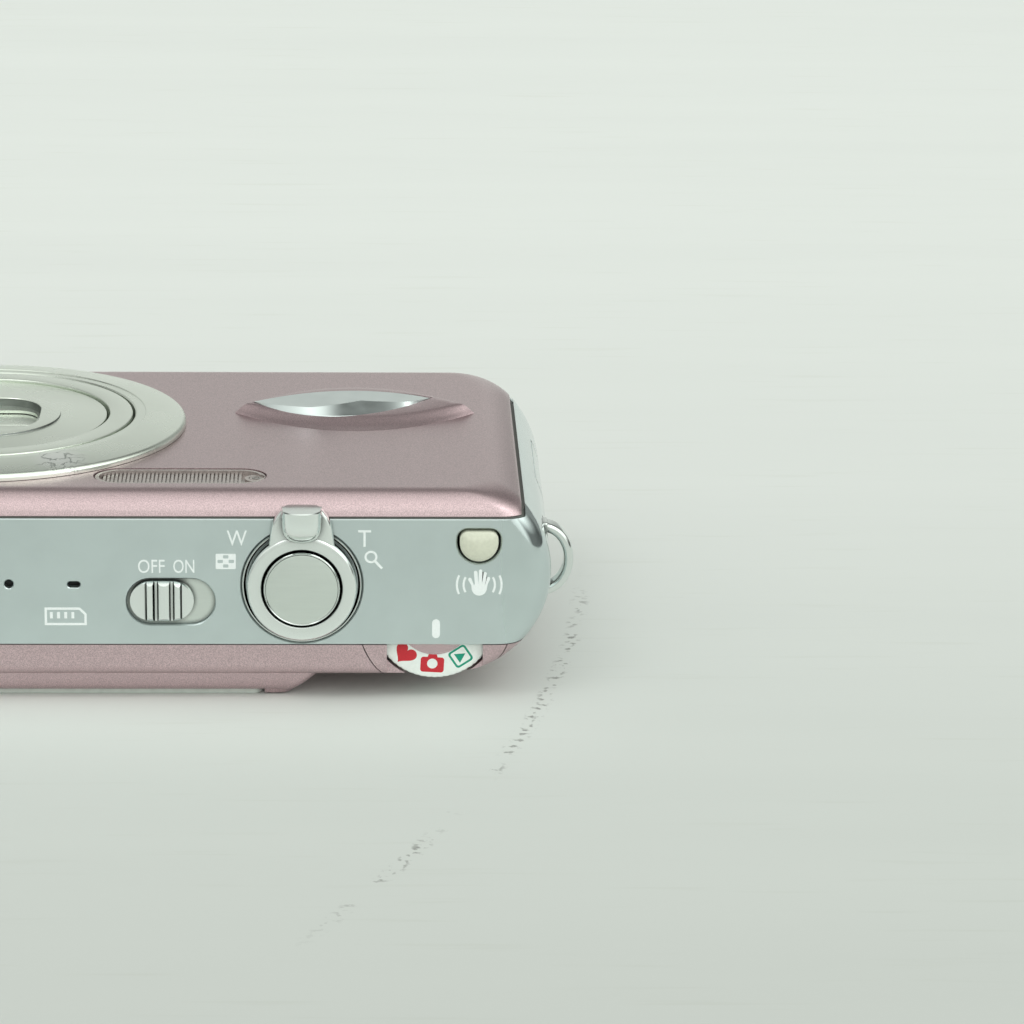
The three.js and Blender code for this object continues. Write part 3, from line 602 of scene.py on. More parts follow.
def photo_camera():
    """A long lens half a metre away, looking a little down on the top plate."""
    elevation = math.radians(16.828)
    azimuth = math.radians(-1.928)
    roll = math.radians(0.6477)
    distance = 500.99
    target = Vector((42.752, -HALF_HEIGHT, 20.920))
    back = Vector((
        math.sin(azimuth) * math.cos(elevation),
        -math.cos(azimuth) * math.cos(elevation),
        math.sin(elevation),
    ))
    right = Vector((math.cos(azimuth), math.sin(azimuth), 0))
    up = back.cross(right)
    rolled_right = right * math.cos(roll) + up * math.sin(roll)
    rolled_up = up * math.cos(roll) - right * math.sin(roll)
    axes = Matrix((rolled_right, rolled_up, back)).transposed()
    data = bpy.data.cameras.new("camera")
    data.sensor_width = 36.0
    data.lens = 168.75
    data.clip_start = 0.01
    data.clip_end = 50
    camera = bpy.data.objects.new("camera", data)
    camera.matrix_world = Matrix.Translation((target + back * distance) * MM) @ axes.to_4x4()
    bpy.context.scene.collection.objects.link(camera)
    bpy.context.scene.camera = camera


def sky_colors(stops):
    """Brightness by the height of a direction, in a faintly green white."""
    return [(height, (level * 0.955, level, level * 0.945)) for height, level in stops]


FAR_SKY = [
    (0.0, 0.72), (0.30, 0.69), (0.48, 0.55), (0.60, 0.30),
    (0.70, 0.06), (0.84, 0.06), (0.92, 0.72), (1.0, 1.12),
]
NEAR_SKY = [(0.0, 0.75), (0.2, 0.98), (0.5, 1.5), (0.85, 1.2), (1.0, 1.12)]
LAMPS = ((-0.42, -0.38, 0.825), (0.45, -0.36, 0.817))


def studio():
    """A pale table under a soft sky: bright on the near side, dim half way up behind and low on
    the right, with two soft lamps overhead."""
    table()
    world = bpy.data.worlds.new("sky")
    world.use_nodes = True
    bpy.context.scene.world = world
    sky = Graph(world.node_tree, "Generated")
    x, y, z = (sky.axis(name) for name in "XYZ")
    far = sky.ramp(z, sky_colors(FAR_SKY))
    near = sky.ramp(z, sky_colors(NEAR_SKY))
    far = sky.vector_math("SCALE", far, sky.remap(x, 0.12, 0.40, 1.0, 0.30), "Scale")["Vector"]
    light = sky.mix(sky.remap(y, 0.45, -0.2, 0.0, 1.0), far, near)
    beside = sky.math("MAXIMUM", sky.remap(x, 0.76, 0.90, 1.0, 0.12), sky.remap(z, 0.14, 0.34, 0.12, 1.0))
    for amount in (sky.remap(x, -0.7, 0.8, 0.62, 1.45), beside):
        light = sky.vector_math("SCALE", light, amount, "Scale")["Vector"]
    for direction in LAMPS:
        facing = sky.vector_math("DOT_PRODUCT", sky.place, direction)["Value"]
        glow = sky.remap(facing, 0.972, 0.99, 0.0, 1.8)
        light = sky.vector_math("ADD", light, glow)["Vector"]
    sky.links.new(light, sky.nodes["Background"].inputs["Color"])
    bpy.context.scene.view_settings.view_transform = "Standard"


def table():
    """Pale painted wood, with painted light making it lighter to the back; a faint lengthwise grain, a trail
    of dark specks.
    """
    look = Look("table", (0.80, 0.82, 0.80), 0.65)
    y = look.axis("Y")
    # painted light: the colour brightens from the near edge to the back
    painted_light_falloff = look.ramp(look.remap(y, -0.165, 0.2, 0.0, 1.0), [
        (0.0, (0.610, 0.630, 0.605)), (0.29, (0.690, 0.716, 0.690)), (0.59, (0.800, 0.821, 0.800)),
        (1.0, (0.860, 0.881, 0.860)),
    ])
    grain = look.ramp(look.noise(0.05, 5.0, (0.1, 1, 1)), [(0.3, 0.975), (0.7, 1.0)])
    hairs = look.ramp(look.noise(0.6, 4.0, (0.07, 1, 1)), [(0.60, 1.0), (0.72, (0.965, 0.965, 0.955))])
    slope = look.math("ADD", look.product(y, y, -2.04), look.product(y, 0.1215))
    line = look.math("ADD", slope, 0.0507)
    off_line = look.math("ABSOLUTE", look.math("SUBTRACT", look.axis("X"), line))
    near_line = look.remap(off_line, 0.0003, 0.0012, 1.0, 0.0)
    ends = look.product(look.remap(y, -0.095, -0.075, 0.0, 1.0), look.remap(y, 0.005, 0.02, 1.0, 0.0))
    clumps = look.remap(look.noise(0.12, 1.0), 0.44, 0.52, 0.0, 1.0)
    specks = look.remap(look.noise(1.1, 2.0), 0.54, 0.64, 0.0, 0.7)
    trail = look.product(near_line, ends, clumps, specks)
    color = look.mix(1.0, look.mix(1.0, painted_light_falloff, grain, "MULTIPLY"), hairs, "MULTIPLY")
    look.links.new(look.mix(trail, color, (0.16, 0.16, 0.15)), look.shader.inputs["Base Color"])
    look.bump(look.noise(0.4, 4.0, (0.15, 1, 1)), 0.05, 0.15)
    top = block("table", -4000, 4000, -4000, 4000, -30, 0)
    top.data.materials.append(look.material)
    return top


# ---- Casing ----------------------------------------------------------------------------------


def half_width(z):
    if z <= END_FILLET_FROM_Z:
        return END_ARC_X + math.sqrt(END_ARC_R ** 2 - (z - END_ARC_Z) ** 2)
    centre_z = FRONT_Z - END_FILLET_R
    centre_x = END_ARC_X + math.sqrt((END_ARC_R - END_FILLET_R) ** 2 - (centre_z - END_ARC_Z) ** 2)
    return centre_x + math.sqrt(max(0.0, END_FILLET_R ** 2 - (z - centre_z) ** 2))


def half_height(z):
    front = min(1.0, max(0.0, (z - FRONT_Z + FRONT_BEVEL_Z) / FRONT_BEVEL_Z))
    rear = min(1.0, max(0.0, (REAR_Z + REAR_FILLET - z) / REAR_FILLET))
    front_drop = FRONT_BEVEL_Y * (1 - math.sqrt(1 - front ** 2))
    rear_drop = REAR_FILLET * (1 - math.sqrt(1 - rear ** 2))
    return HALF_HEIGHT - front_drop - rear_drop


def casing_ring(z, inset=0.0, widest=FAR):
    """The casing's outline at height z, inset from its skin and no wider than asked."""
    depth = FRONT_Z - REAR_Z
    skin_z = REAR_Z + (z - REAR_Z - inset) * depth / (depth - 2 * inset)
    skin_z = min(max(skin_z, REAR_Z), FRONT_Z)
    hx = half_width(skin_z) - inset
    hy = half_height(skin_z) - inset
    top_r = max(0.3, TOP_CORNER_R + 0.4 * (HALF_HEIGHT - inset - hy) - inset)
    base_x = BASE_CORNER_X - inset
    base_y = BASE_CORNER_Y - inset
    ring = [
        *arc(hx - top_r, -hy + top_r, top_r, top_r, -90, 0, 12),
        *arc(hx - base_x, hy - base_y, base_x, base_y, 0, 90, 20),
        *arc(-hx + base_x, hy - base_y, base_x, base_y, 90, 180, 20),
        *arc(-hx + top_r, -hy + top_r, top_r, top_r, 180, 270, 12),
    ]
    return [(max(-widest, min(widest, x)), y, z) for x, y in ring]


def drawn_in(ring, amount):
    """A ring pulled in by a small amount, for a chamfered rim."""
    return [(x - math.copysign(amount, x), y - math.copysign(amount, y), z) for x, y, z in ring]


def spread(low, high, steps):
    return [low + (high - low) * i / steps for i in range(steps + 1)]


def front_shell():
    rise = [FRONT_Z - FRONT_BEVEL_Z + FRONT_BEVEL_Z * math.sin(math.pi / 2 * i / 20) for i in range(4, 21)]
    widest = CHEEK_X - SIDE_GAP
    low = BAND_TOP_Z + FRONT_SEAM
    rings = [drawn_in(casing_ring(low, 0, widest), 0.12), casing_ring(low + 0.1, 0, widest)]
    rings += [casing_ring(z, 0, widest) for z in rise]
    rings.append([(x * 0.99, y * 0.99, FRONT_Z) for x, y, _ in rings[-1]])
    shell = loft("front_shell_skin", rings)
    inside = loft("inside", [casing_ring(z, WALL, widest - WALL) for z in spread(19, FRONT_Z - WALL, 8)])
    lens_hole = turned("lens_hole", [(0, 15), (17.7, 15), (17.7, 30), (0, 30)], AT_LENS)
    low, high = node_box("flash_window")
    flash = stadium(low.x - SEAM, high.x + SEAM, low.y - SEAM, high.y + SEAM)
    flash_hole = prism("flash_hole", flash, 15, 30)
    carve(shell, [inside, lens_hole, flash_hole])
    finish_piece(shell, "casing", "pink_metal", ["front_shell"])


def trim_rings():
    """A polished ring in the lever's recess and a pale floor under the power switch."""
    inner, outer = 5.88, LEVER_RECESS_R - 0.02
    bezel = [
        (inner, -0.58), (outer, -0.58), (outer, -0.12), (6.22, 0.06),
        (6.1, 0.06), (5.98, -0.08), (inner, -0.3),
    ]
    finish_piece(turned("lever_bezel", bezel, AT_SHUTTER, 160), "casing", "chrome")
    floor = stack("switch_floor", stadium(*POWER_RECESS), [(-0.03, -0.64), (-0.03, -0.54)], on_top)
    carve(floor, [power_slot()])
    finish_piece(floor, "casing", "satin_silver", (), "brushed_button")


def power_slot():
    return prism("power_slot", rounded_rect(4.9, 9.2, 10.1, 12, 0.4), -3, 1, on_top)


def dial_room(height):
    depth = -HALF_HEIGHT - (node_box("mode_dial")[1].y + 0.3)
    profile = [(0, depth), (DIAL_R + 0.3, depth), (DIAL_R + 0.3, height), (0, height)]
    return turned("dial_room", profile, AT_DIAL)


def stabiliser_outline(grow):
    low, high = node_box("stabiliser_button")
    half, corner = (high.x - low.x) / 2, 1.0
    middle = (low.x + high.x) / 2
    waist = low.z + half
    top = high.z - corner
    return [
        *arc(high.x - corner, top, corner + grow, corner + grow, 0, 90, 8),
        *arc(low.x + corner, top, corner + grow, corner + grow, 90, 180, 8),
        *arc(middle, waist, half + grow, half + grow, 180, 360, 24),
    ]


def domed_stabiliser(grow):
    """The button's outline, smaller than its hole; past 1 mm in it closes towards its middle."""
    ring = stabiliser_outline(max(grow, -0.6) - 0.12)
    middle = sum((Vector(p) for p in ring), Vector((0, 0))) / len(ring)
    shrink = 1 if grow >= -0.6 else max(0.02, 1 + (grow + 0.6) / 1.4)
    return [tuple(middle + (Vector(p) - middle) * shrink) for p in ring]


def chamfered(bottom, width):
    """Levels of a hole from the surface down to bottom, with a chamfered rim."""
    return [(0, bottom), (0, -width), (width, 0.01), (width, 2)]


def top_openings():
    rim = LEVER_RECESS_R + 0.16
    recess = [(0, -0.6), (LEVER_RECESS_R, -0.6), (LEVER_RECESS_R, -0.14), (rim, 0.02), (rim, 2), (0, 2)]
    x, z = SPEAKER_HOLE
    return [
        turned("lever_recess", recess, AT_SHUTTER),
        prism("lever_hole", circle(3.2), -3, 1, AT_SHUTTER),
        stack("power_recess", stadium(*POWER_RECESS), chamfered(-0.66, 0.12), on_top),
        power_slot(),
        stack("stabiliser_hole", lambda grow: stabiliser_outline(grow + SEAM), chamfered(-3, 0.14), on_top),
        stack("mic_hole", circle(0.48, 24), chamfered(-3, 0.1), around(MIC_HOLE, on_top)),
        stack("speaker_hole", stadium(x - 0.68, x + 0.68, z - 0.34, z + 0.34), chamfered(-3, 0.1), on_top),
        dial_room(-0.6),
    ]


def band():
    low = BAND_BOTTOM_Z + HAIRLINE
    high = BAND_TOP_Z - FRONT_SEAM
    rings = [drawn_in(casing_ring(low), 0.08)]
    rings += [casing_ring(z) for z in [*spread(low + 0.08, 20, 22), *spread(high, 21.4, 6)]]
    skin = loft("top_side_band_skin", rings)
    inside = loft("inside", [casing_ring(z, WALL) for z in spread(5, 21.8, 26)])
    above = block("above", -CHEEK_X, CHEEK_X, -FAR, FAR, high, FAR)
    skin_y, rim = -HALF_HEIGHT - 0.05, high + 0.05
    edge = [(skin_y, rim - 0.2), (skin_y + 0.2, rim), (skin_y, rim)]
    bevel = prism("bevel", polygon(edge), -CHEEK_X, CHEEK_X, lambda a, b, h: (h, a, b))
    base = block("base", -37.6, 37.6, HALF_HEIGHT - 3, FAR, 0, FAR)
    side_rooms = []
    for name, gap in (("strap_eyelet", SEAM), ("terminal_door", 0.3)):
        low, top = node_box(name)
        side_rooms.append(block(name, 40, FAR, low.y - gap, top.y + gap, low.z - gap, top.z + gap))
    carve(skin, [inside, above, bevel, base, *side_rooms, *top_openings()])
    finish_piece(skin, "casing", "satin_silver", ["top_side_band"])


def seam_strips():
    """Dark strips a little inside the seams round the front shell, as painted shade in the gaps."""
    heights = spread(BAND_TOP_Z - 0.4, BAND_TOP_Z + 0.4, 4)
    strip = loft("seam_strip", [casing_ring(z, 0.2, CHEEK_X) for z in heights])
    heights = spread(BAND_TOP_Z - 1, BAND_TOP_Z + 1, 4)
    inside = loft("inside", [casing_ring(z, 0.8, CHEEK_X - 0.6) for z in heights])
    door_room = block("door_room", -FAR, FAR, HALF_HEIGHT - 4, FAR, 0, FAR)
    carve(strip, [inside, door_room])
    finish_piece(strip, "casing", "black_plastic", (), "seam_grey")
    heights = spread(BAND_TOP_Z - 0.3, FRONT_Z - 0.45, 18)
    ends = loft("side_gap_shade", [casing_ring(z, 0.45) for z in heights])
    inner, outer = CHEEK_X - SIDE_GAP + HAIRLINE, CHEEK_X - HAIRLINE
    rooms = ((-inner, inner), (-FAR, -outer), (outer, FAR))
    carve(ends, [block("room", x0, x1, -FAR, FAR, 0, FAR) for x0, x1 in rooms])
    finish_piece(ends, "casing", "black_plastic", (), "dark_gap")


def shell_part(name, outside, z0, z1, cutters=()):
    """A piece of the casing's wall between two heights, inside the closed mesh outside."""
    piece = loft(name, [casing_ring(z) for z in spread(max(z0, REAR_Z), z1, 24)])
    carve(piece, [outside], "INTERSECT")
    inside_levels = spread(max(z0 - 2, REAR_Z + WALL), z1 + 2, 26)
    inside = loft("inside", [casing_ring(z, WALL) for z in inside_levels])
    return carve(piece, [inside, *cutters])


def wall_piece(name, body, x_range, y_range, cutters=()):
    """The casing's wall over a CAD plate or door, seen between two x and two y."""
    low, high = node_box(name)
    outside = block("outside", *x_range, *y_range, low.z, high.z)
    piece = shell_part(f"{name}_skin", outside, low.z - 1, high.z + 1, cutters)
    finish_piece(piece, body, "satin_silver", [name])


def guard_room(grow):
    depth = -HALF_HEIGHT - node_box("dial_guard")[1].y - grow
    profile = [(0, depth), (GUARD_R + grow, depth), (GUARD_R + grow, 5), (0, 5)]
    return turned("guard_room", profile, AT_DIAL, 128)


def rear_shell():
    fillet = [REAR_Z + REAR_FILLET * (1 - math.cos(math.pi / 2 * i / 14)) for i in range(15)]
    top = BAND_BOTTOM_Z - HAIRLINE
    rings = [casing_ring(z) for z in [*fillet, *spread(4.3, top, 4)]]
    rings.insert(0, [(x * 0.99, y * 0.99, REAR_Z) for x, y, _ in rings[0]])
    shell = loft("rear_shell_skin", rings)
    carve(shell, [loft("plateau", plateau_rings())], "UNION")
    inside = loft("inside", [casing_ring(z, WALL) for z in spread(REAR_Z + WALL, 8, 14)])
    low, high = node_box("lcd_window")
    seat = block("seat", low.x - SEAM, high.x + SEAM, -FAR, FAR, -1, high.z + 0.05)
    low, high = node_box("lcd_module")
    pocket = block("pocket", low.x - 0.6, high.x + 0.6, low.y - 0.6, high.y + 0.6, 1.2, 5)
    aperture = block("aperture", low.x + 1.2, high.x - 1.2, low.y + 1.2, high.y - 1.2, 0, 2)
    well = stack("well", circle(8.35, 96), [(0.1, 0), (0, 2.9), (0, 8)], AT_KEYS)
    small = []
    for name in ("display_button", "delete_button"):
        key_low, key_high = node_box(name)
        middle = (key_low + key_high) / 2
        small.append(prism("small", circle(2.45), 0, 8, around(middle.xy, flat)))
    carve(shell, [inside, seat, pocket, aperture, guard_room(0.1), well, *small])
    finish_piece(shell, "casing", "pink_metal", ["rear_shell"])


def plateau_rings():
    """The raised display frame: its sides swell down from a crease, its ends are chamfered."""
    x0, x1, half_y, low = -38.0, 22.7, 24.2, node_box("rear_shell")[0].z
    rings = []
    levels = (
        (3.4, 0, 0), (REAR_Z, 0, 0), (2.4, 0.03, 0.35), (1.9, 0.1, 0.9), (1.4, 0.22, 1.5),
        (1.0, 0.42, 2.0), (0.75, 0.66, 2.35), (0.6, 0.9, 2.55), (0.3, 1.0, 2.85), (low, 1.15, 3.1),
    )
    for z, drop_y, drop_x in levels:
        outline = rounded_rect(x0 + drop_x, x1 - drop_x, -half_y + drop_y, half_y - drop_y, 1.2)
        rings.append([(x, y, z) for x, y in outline(0)])
    return rings


def dial_guard():
    half = 5.05
    slot = block("slot", DIAL.x - half, DIAL.x + half, -FAR, 1 - HALF_HEIGHT, 0, 8)
    room = dial_room(-0.6)
    guard = shell_part("dial_guard_skin", guard_room(0), REAR_Z, BAND_BOTTOM_Z - HAIRLINE, [slot, room])
    finish_piece(guard, "casing", "pink_metal", ["dial_guard"])


def base_pieces():
    """The silver base plate with its holes, and the battery door with its lock."""
    low, high = node_box("bottom_plate")
    holes = []
    for name, r, count in (("tripod_socket", 4.65, 64), ("base_screw_1", 1.6, 32), ("base_screw_2", 1.6, 32)):
        a, b = node_box(name)
        middle = (a + b) / 2
        place = around((middle.x, middle.z), on_base)
        holes.append(stack("hole", circle(r, count), chamfered(-4, 0.1), place))
    wall_piece("bottom_plate", "casing", (low.x, high.x), (23.5, FAR), holes)
    low, high = node_box("battery_door")
    rebate = block("rebate", 0, FAR, 20, 25.15, 18.93, FAR)
    slide_low, slide_high = node_box("door_lock_slider")
    slide = rounded_rect(slide_low.x - 0.3, slide_high.x + 2.3, slide_low.z - 0.3, slide_high.z + 0.3, 0.5)
    pocket = stack("pocket", slide, chamfered(-0.6, 0.1), on_base)
    wall_piece("battery_door", "battery_door", (low.x, high.x), (23.5, FAR), [rebate, pocket])
    outline = rounded_rect(slide_low.x, slide_high.x, slide_low.z, slide_high.z, 0.4)
    slider = stack("door_lock_slider_skin", outline, soft_edges(-0.45, -0.12), on_base)
    foot_y, crest_y = HALF_HEIGHT - 0.2, HALF_HEIGHT - 0.03
    ribs = [block("rib", x, x + 0.5, foot_y, crest_y, 8.8, 10.2) for x in (14, 14.9, 15.8)]
    carve(slider, ribs, "UNION")
    finish_piece(slider, "door_lock", "steel", ["door_lock_slider"])
    low, high = node_box("terminal_door")
    wall_piece("terminal_door", "terminal_door", (44, FAR), (low.y, high.y))


# ---- Lens ------------------------------------------------------------------------------------


def darken_walls(obj, centre, radius, above):
    """The upright walls near the centre and above a height get the dark material as painted shade, for their
    shaded depth.
    """
    obj.data.materials.append(LOOKS["dark_silver"])
    for face in obj.data.polygons:
        middle = face.center / MM
        if (middle.xy - centre).length < radius and middle.z > above and abs(face.normal.z) < 0.5:
            face.material_index = 1


def lens():
    low, high = node_box("lens_trim_ring")
    outer_r = (high.x - low.x) / 2
    steps = spread(0, math.radians(82), 10)
    edge = [(outer_r - 0.55 * (1 - math.cos(a)), 23.1 + 0.5 * math.sin(a)) for a in steps]
    face, lip = high.z - 0.04, high.z - 0.12
    ring = [
        (16.9, 20.5), (17.5, 20.5), (17.5, FRONT_Z + 0.05), (outer_r, FRONT_Z + 0.05), *edge,
        (18.2, face), (18.05, face), (17.95, lip), (17.05, lip), (16.9, high.z - 0.24),
    ]
    trim = turned("lens_trim_ring_skin", ring, AT_LENS, 192)
    finish_piece(trim, "casing", "barrel_silver", ["lens_trim_ring"])
    one = [(14.1, 11.6), (16.6, 11.6), (16.6, 24.1), (14.1, 24.1)]
    stage = turned("barrel_stage_1_skin", one, AT_LENS, 160, 0.2)
    finish_piece(stage, "barrel_1", "barrel_silver", ["lens_barrel_stage_1"])
    two = [(12.85, 12), (13.75, 12), (13.75, 23.3), (12.85, 23.3), (12.85, 22.25), (6.6, 22.25),
           (6.6, 21.6), (7.6, 21.6), (7.6, 16.8), (8.4, 16.8), (8.4, 21.4), (12.85, 21.4)]
    tube = turned("barrel_stage_2_skin", two, AT_LENS, 144, 0.08)
    finish_piece(tube, "barrel_2", "barrel_silver", ["lens_barrel_stage_2"])
    cap = [
        (0, 22.85), (12.65, 22.85), (12.65, 23.35), (13.75, 23.35),
        (13.75, 23.85), (8.75, 23.85), (8.7, 24.06), (0, 24.09),
    ]
    face = turned("front_cap_skin", cap, AT_LENS, 160, 0.03)
    levels = [(0, 23.15), (0, 24.0), (0.06, 24.08), (0.3, 25)]
    recess = stack("recess", rounded_rect(-6.5, 6.5, -6.3, 6.3, 4.4), levels, AT_LENS)
    window = prism("window", rounded_rect(-6.1, 6.1, -4.4, 4.4, 2.4), 22, 25, AT_LENS)
    carve(face, [recess, window])
    finish_piece(face, "barrel_2", "barrel_silver", ["lens_front_cap"])
    # painted shade: the walls of the cap's recess get the dark material
    darken_walls(face, LENS.xy, 9.0, 23.2)
    for body, low_y, high_y in (("blade_upper", -5.2, -0.05), ("blade_lower", 0.05, 5.2)):
        outline = rounded_rect(-7.5, 7.5, low_y, high_y, 0.6)
        blade = stack(f"{body}_skin", outline, soft_edges(22.35, 22.75, 0.1), AT_LENS)
        finish_piece(blade, body, "barrel_silver", [f"barrier_{body}"])


# ---- Front: grip, flash, lamp ----------------------------------------------------------------


def almond(x0, x1, tip_y, near, far, shrink, steps=40):
    mid, half = (x0 + x1) / 2, (x1 - x0) / 2 * shrink
    ring = []
    for side in (0, 1):
        for i in range(steps):
            t = i / steps
            along = -1 + 2 * t if side == 0 else 1 - 2 * t
            bulge = (-near if side == 0 else far) * (1 - along ** 2) * shrink
            ring.append((mid + half * along, tip_y + bulge))
    return ring


def grip():
    low, high = node_box("grip_ridge")
    insert_low, insert_high = node_box("grip_insert")
    rings = []
    levels = (
        (7.4, 7.2, 1.0, 22.78), (7.3, 7.2, 0.995, 22.84), (6.8, 7.0, 0.975, 22.98), (6.3, 6.7, 0.955, 23.14),
        (5.7, 6.4, 0.93, 23.34), (5.2, 6.1, 0.91, 23.5), (4.8, 5.8, 0.89, 23.6), (4.4, 5.3, 0.86, 23.66),
    )
    for near, far, shrink, z in levels:
        lean = 0.07 * min(1.0, (z - 22.78) / 0.5)
        rings.append([(x, y, z + lean * (y - 1.8)) for x, y in almond(low.x, high.x, 5.9, near, far, shrink)])
    ridge = loft("grip_ridge_skin", rings, 60)
    room = almond(insert_low.x - 0.1, insert_high.x + 0.1, 7.0, 5.3, 2.7, 1.0)
    carve(ridge, [loft("room", [[(x, y + insert_lean(x), z) for x, y in room] for z in (23.25, 26)])])
    finish_piece(ridge, "casing", "pink_metal", ["grip_ridge"])
    sections = []
    for t in spread(0.006, 0.994, 90):
        x = insert_low.x + (insert_high.x - insert_low.x) * t
        along = 2 * t - 1
        bulge = 1 - along ** 2
        tip = 7.0 + insert_lean(x)
        near, far = tip - 5.2 * bulge, tip + 2.6 * bulge
        crease = near + 0.55 * bulge + 2.7 * max(0.0, 1 - abs(x - 27.0) / 5.5)
        crease = min(crease, far - 0.1)
        top = 24.39 - 0.35 * along ** 2
        edge = 23.52 + 0.25 * along ** 2
        sections.append([
            (x, near, 23.35), (x, near, edge), (x, near + 0.05, edge + 0.09), (x, crease, top),
            (x, far - 0.08, top - 0.05), (x, far, top - 0.16), (x, far, 23.35),
        ])
    insert = loft("grip_insert_skin", sections, 9)
    finish_piece(insert, "casing", "chrome", ["grip_insert"], "insert_chrome")


def insert_lean(x):
    """The insert's right tip lies a little further back than its left one."""
    return 0.085 * (x - 25.0)


def flash():
    low, high = node_box("flash_window")
    frame_ring = stack("flash_frame", stadium(low.x, high.x, low.y, high.y), soft_edges(21.6, 22.72, 0.06))
    inner = stadium(low.x + 0.45, high.x - 0.45, low.y + 0.45, high.y - 0.45)
    hollow = prism("hollow", inner, 22.2, 24)
    lamp_low, lamp_high = node_box("self_timer_lamp")
    lamp_at = around(((lamp_low + lamp_high) / 2).xy, flat)
    collar = prism("collar", circle(1.25, 32), 22, 22.55, lamp_at)
    carve(frame_ring, [hollow])
    carve(frame_ring, [collar], "UNION")
    carve(frame_ring, [prism("lamp_hole", circle(0.85, 32), 20, 24, lamp_at)])
    finish_piece(frame_ring, "casing", "clear_cover", ["flash_window"], "flash_lens")
    pitch = 0.42
    start, end = low.x + 0.9, high.x - 2.2
    ribs = []
    for i in range(int((end - start) / pitch)):
        x = start + i * pitch
        past_arc = max(0.0, low.x + FLASH_END_R - x)
        half_chord = math.sqrt(max(0.0, FLASH_END_R ** 2 - past_arc ** 2))
        inset = max(0.5, 3.1 - half_chord)
        ribs.append(block("rib", x, x + pitch * 0.62, low.y + inset, high.y - inset, 22.1, 22.5))
    finish_piece(merge("flash_ribs", ribs), "casing", "clear_cover", (), "flash_lens")
    dome = [(0, 21.2), (0.8, 21.2), (0.8, 22.5), (0.75, 22.55), (0, 22.56)]
    lamp = turned("lamp_skin", dome, lamp_at, 32)
    finish_piece(lamp, "casing", "cream_plastic", ["self_timer_lamp"], "flash_lens")
    eye = turned("lamp_ring", [(0.25, 22.5), (0.5, 22.5), (0.5, 22.6), (0.25, 22.6)], lamp_at, 32)
    finish_piece(eye, "casing", "cream_plastic", (), "lamp_lens")


# ---- Top plate controls ----------------------------------------------------------------------


def shutter_button():
    rim = [
        (0, -3.55), (1.6, -3.55), (1.6, 1.05), (4.0, 1.05),
        (4.0, 1.55), (3.88, 1.75), (3.78, 1.66), (0, 1.66),
    ]
    body = turned("shutter_body", rim, AT_SHUTTER, 128, 0.03)
    finish_piece(body, "shutter", "chrome", ["shutter_button"])
    disc = [(0, 1.5), (3.76, 1.5), (3.76, 1.70), (3.6, 1.735), (0, 1.745)]
    face = turned("shutter_disc", disc, AT_SHUTTER)
    finish_piece(face, "shutter", "satin_silver", (), "brushed_button")


def lever_arm(grow):
    """The arm in plan: straight flanks off the ring, drawn in at the finger."""
    side = (
        (3.45, 4.4), (3.36, 5.2), (3.24, 6.0), (3.14, 6.7),
        (2.98, 7.25), (2.7, 7.75), (2.4, 8.15), (2.15, 8.5),
    )
    right = [(x + grow, y) for x, y in side]
    right.append((2.1 + grow, 8.7 + grow))
    return right + [(-x, y) for x, y in reversed(right)]


def zoom_lever():
    ring = [
        (2, -3), (2.9, -3), (2.9, -0.45), (5.75, -0.45), (5.75, 1.15), (5.55, 1.4), (5.2, 1.45),
        (4.3, 1.45), (BUTTON_ROOM_R, 1.25), (BUTTON_ROOM_R, 0.05), (2, 0.05),
    ]
    lever = turned("zoom_lever_skin", ring, AT_SHUTTER, 128, 0.1)
    levels = [(0, 0.35), (0, 0.95), (-0.07, 1.12), (-0.2, 1.24), (-0.4, 1.3)]
    arm = stack("arm", lever_arm, levels, AT_SHUTTER)
    hole = prism("button_room", circle(BUTTON_ROOM_R, 96), 0.05, 4, AT_SHUTTER)
    carve(arm, [hole])
    carve(lever, [arm, finger_solid()], "UNION")
    finish_piece(lever, "zoom", "chrome", ["zoom_lever"], "satin_chrome")


def finger_solid():
    """The finger rest: it swells out of the arm, stands proud and is cut off flat at its end."""
    end = node_box("zoom_lever")[1].z - SHUTTER.z
    rise = (
        (5.0, 0.5, 1.3, 0.25), (5.04, 0.5, 1.5, 0.7), (5.15, 0.5, 1.7, 1.1), (5.35, 0.5, 1.95, 1.42),
        (5.65, 0.5, 2.3, 1.68), (6.05, 0.5, 2.68, 1.87), (6.5, 0.45, 3.0, 1.98), (7.0, 0.4, 3.28, 2.03),
        (7.6, 0.2, 3.48, 2.06), (8.2, 0.0, 3.6, 2.09), (end - 0.1, -0.1, 3.65, 2.1), (end, 0.0, 3.5, 2.0),
    )
    widest_at = 0.42
    rings = []
    for y, foot, height, half in rise:
        tall = height - foot
        under, upper = [], []
        for a in spread(0, math.pi / 2, 8):
            under.append((half * (0.5 + 0.5 * math.sin(a)), foot + tall * widest_at * (1 - math.cos(a))))
        for a in spread(0, math.pi, 24)[1:-1]:
            crown = (1 - widest_at) * math.sin(a) ** 0.6
            upper.append((half * math.cos(a), foot + tall * (widest_at + crown)))
        section = under + upper + [(-x, h) for x, h in reversed(under)]
        rings.append([AT_SHUTTER(x, y, h) for x, h in section])
    return loft("finger", rings, 40)


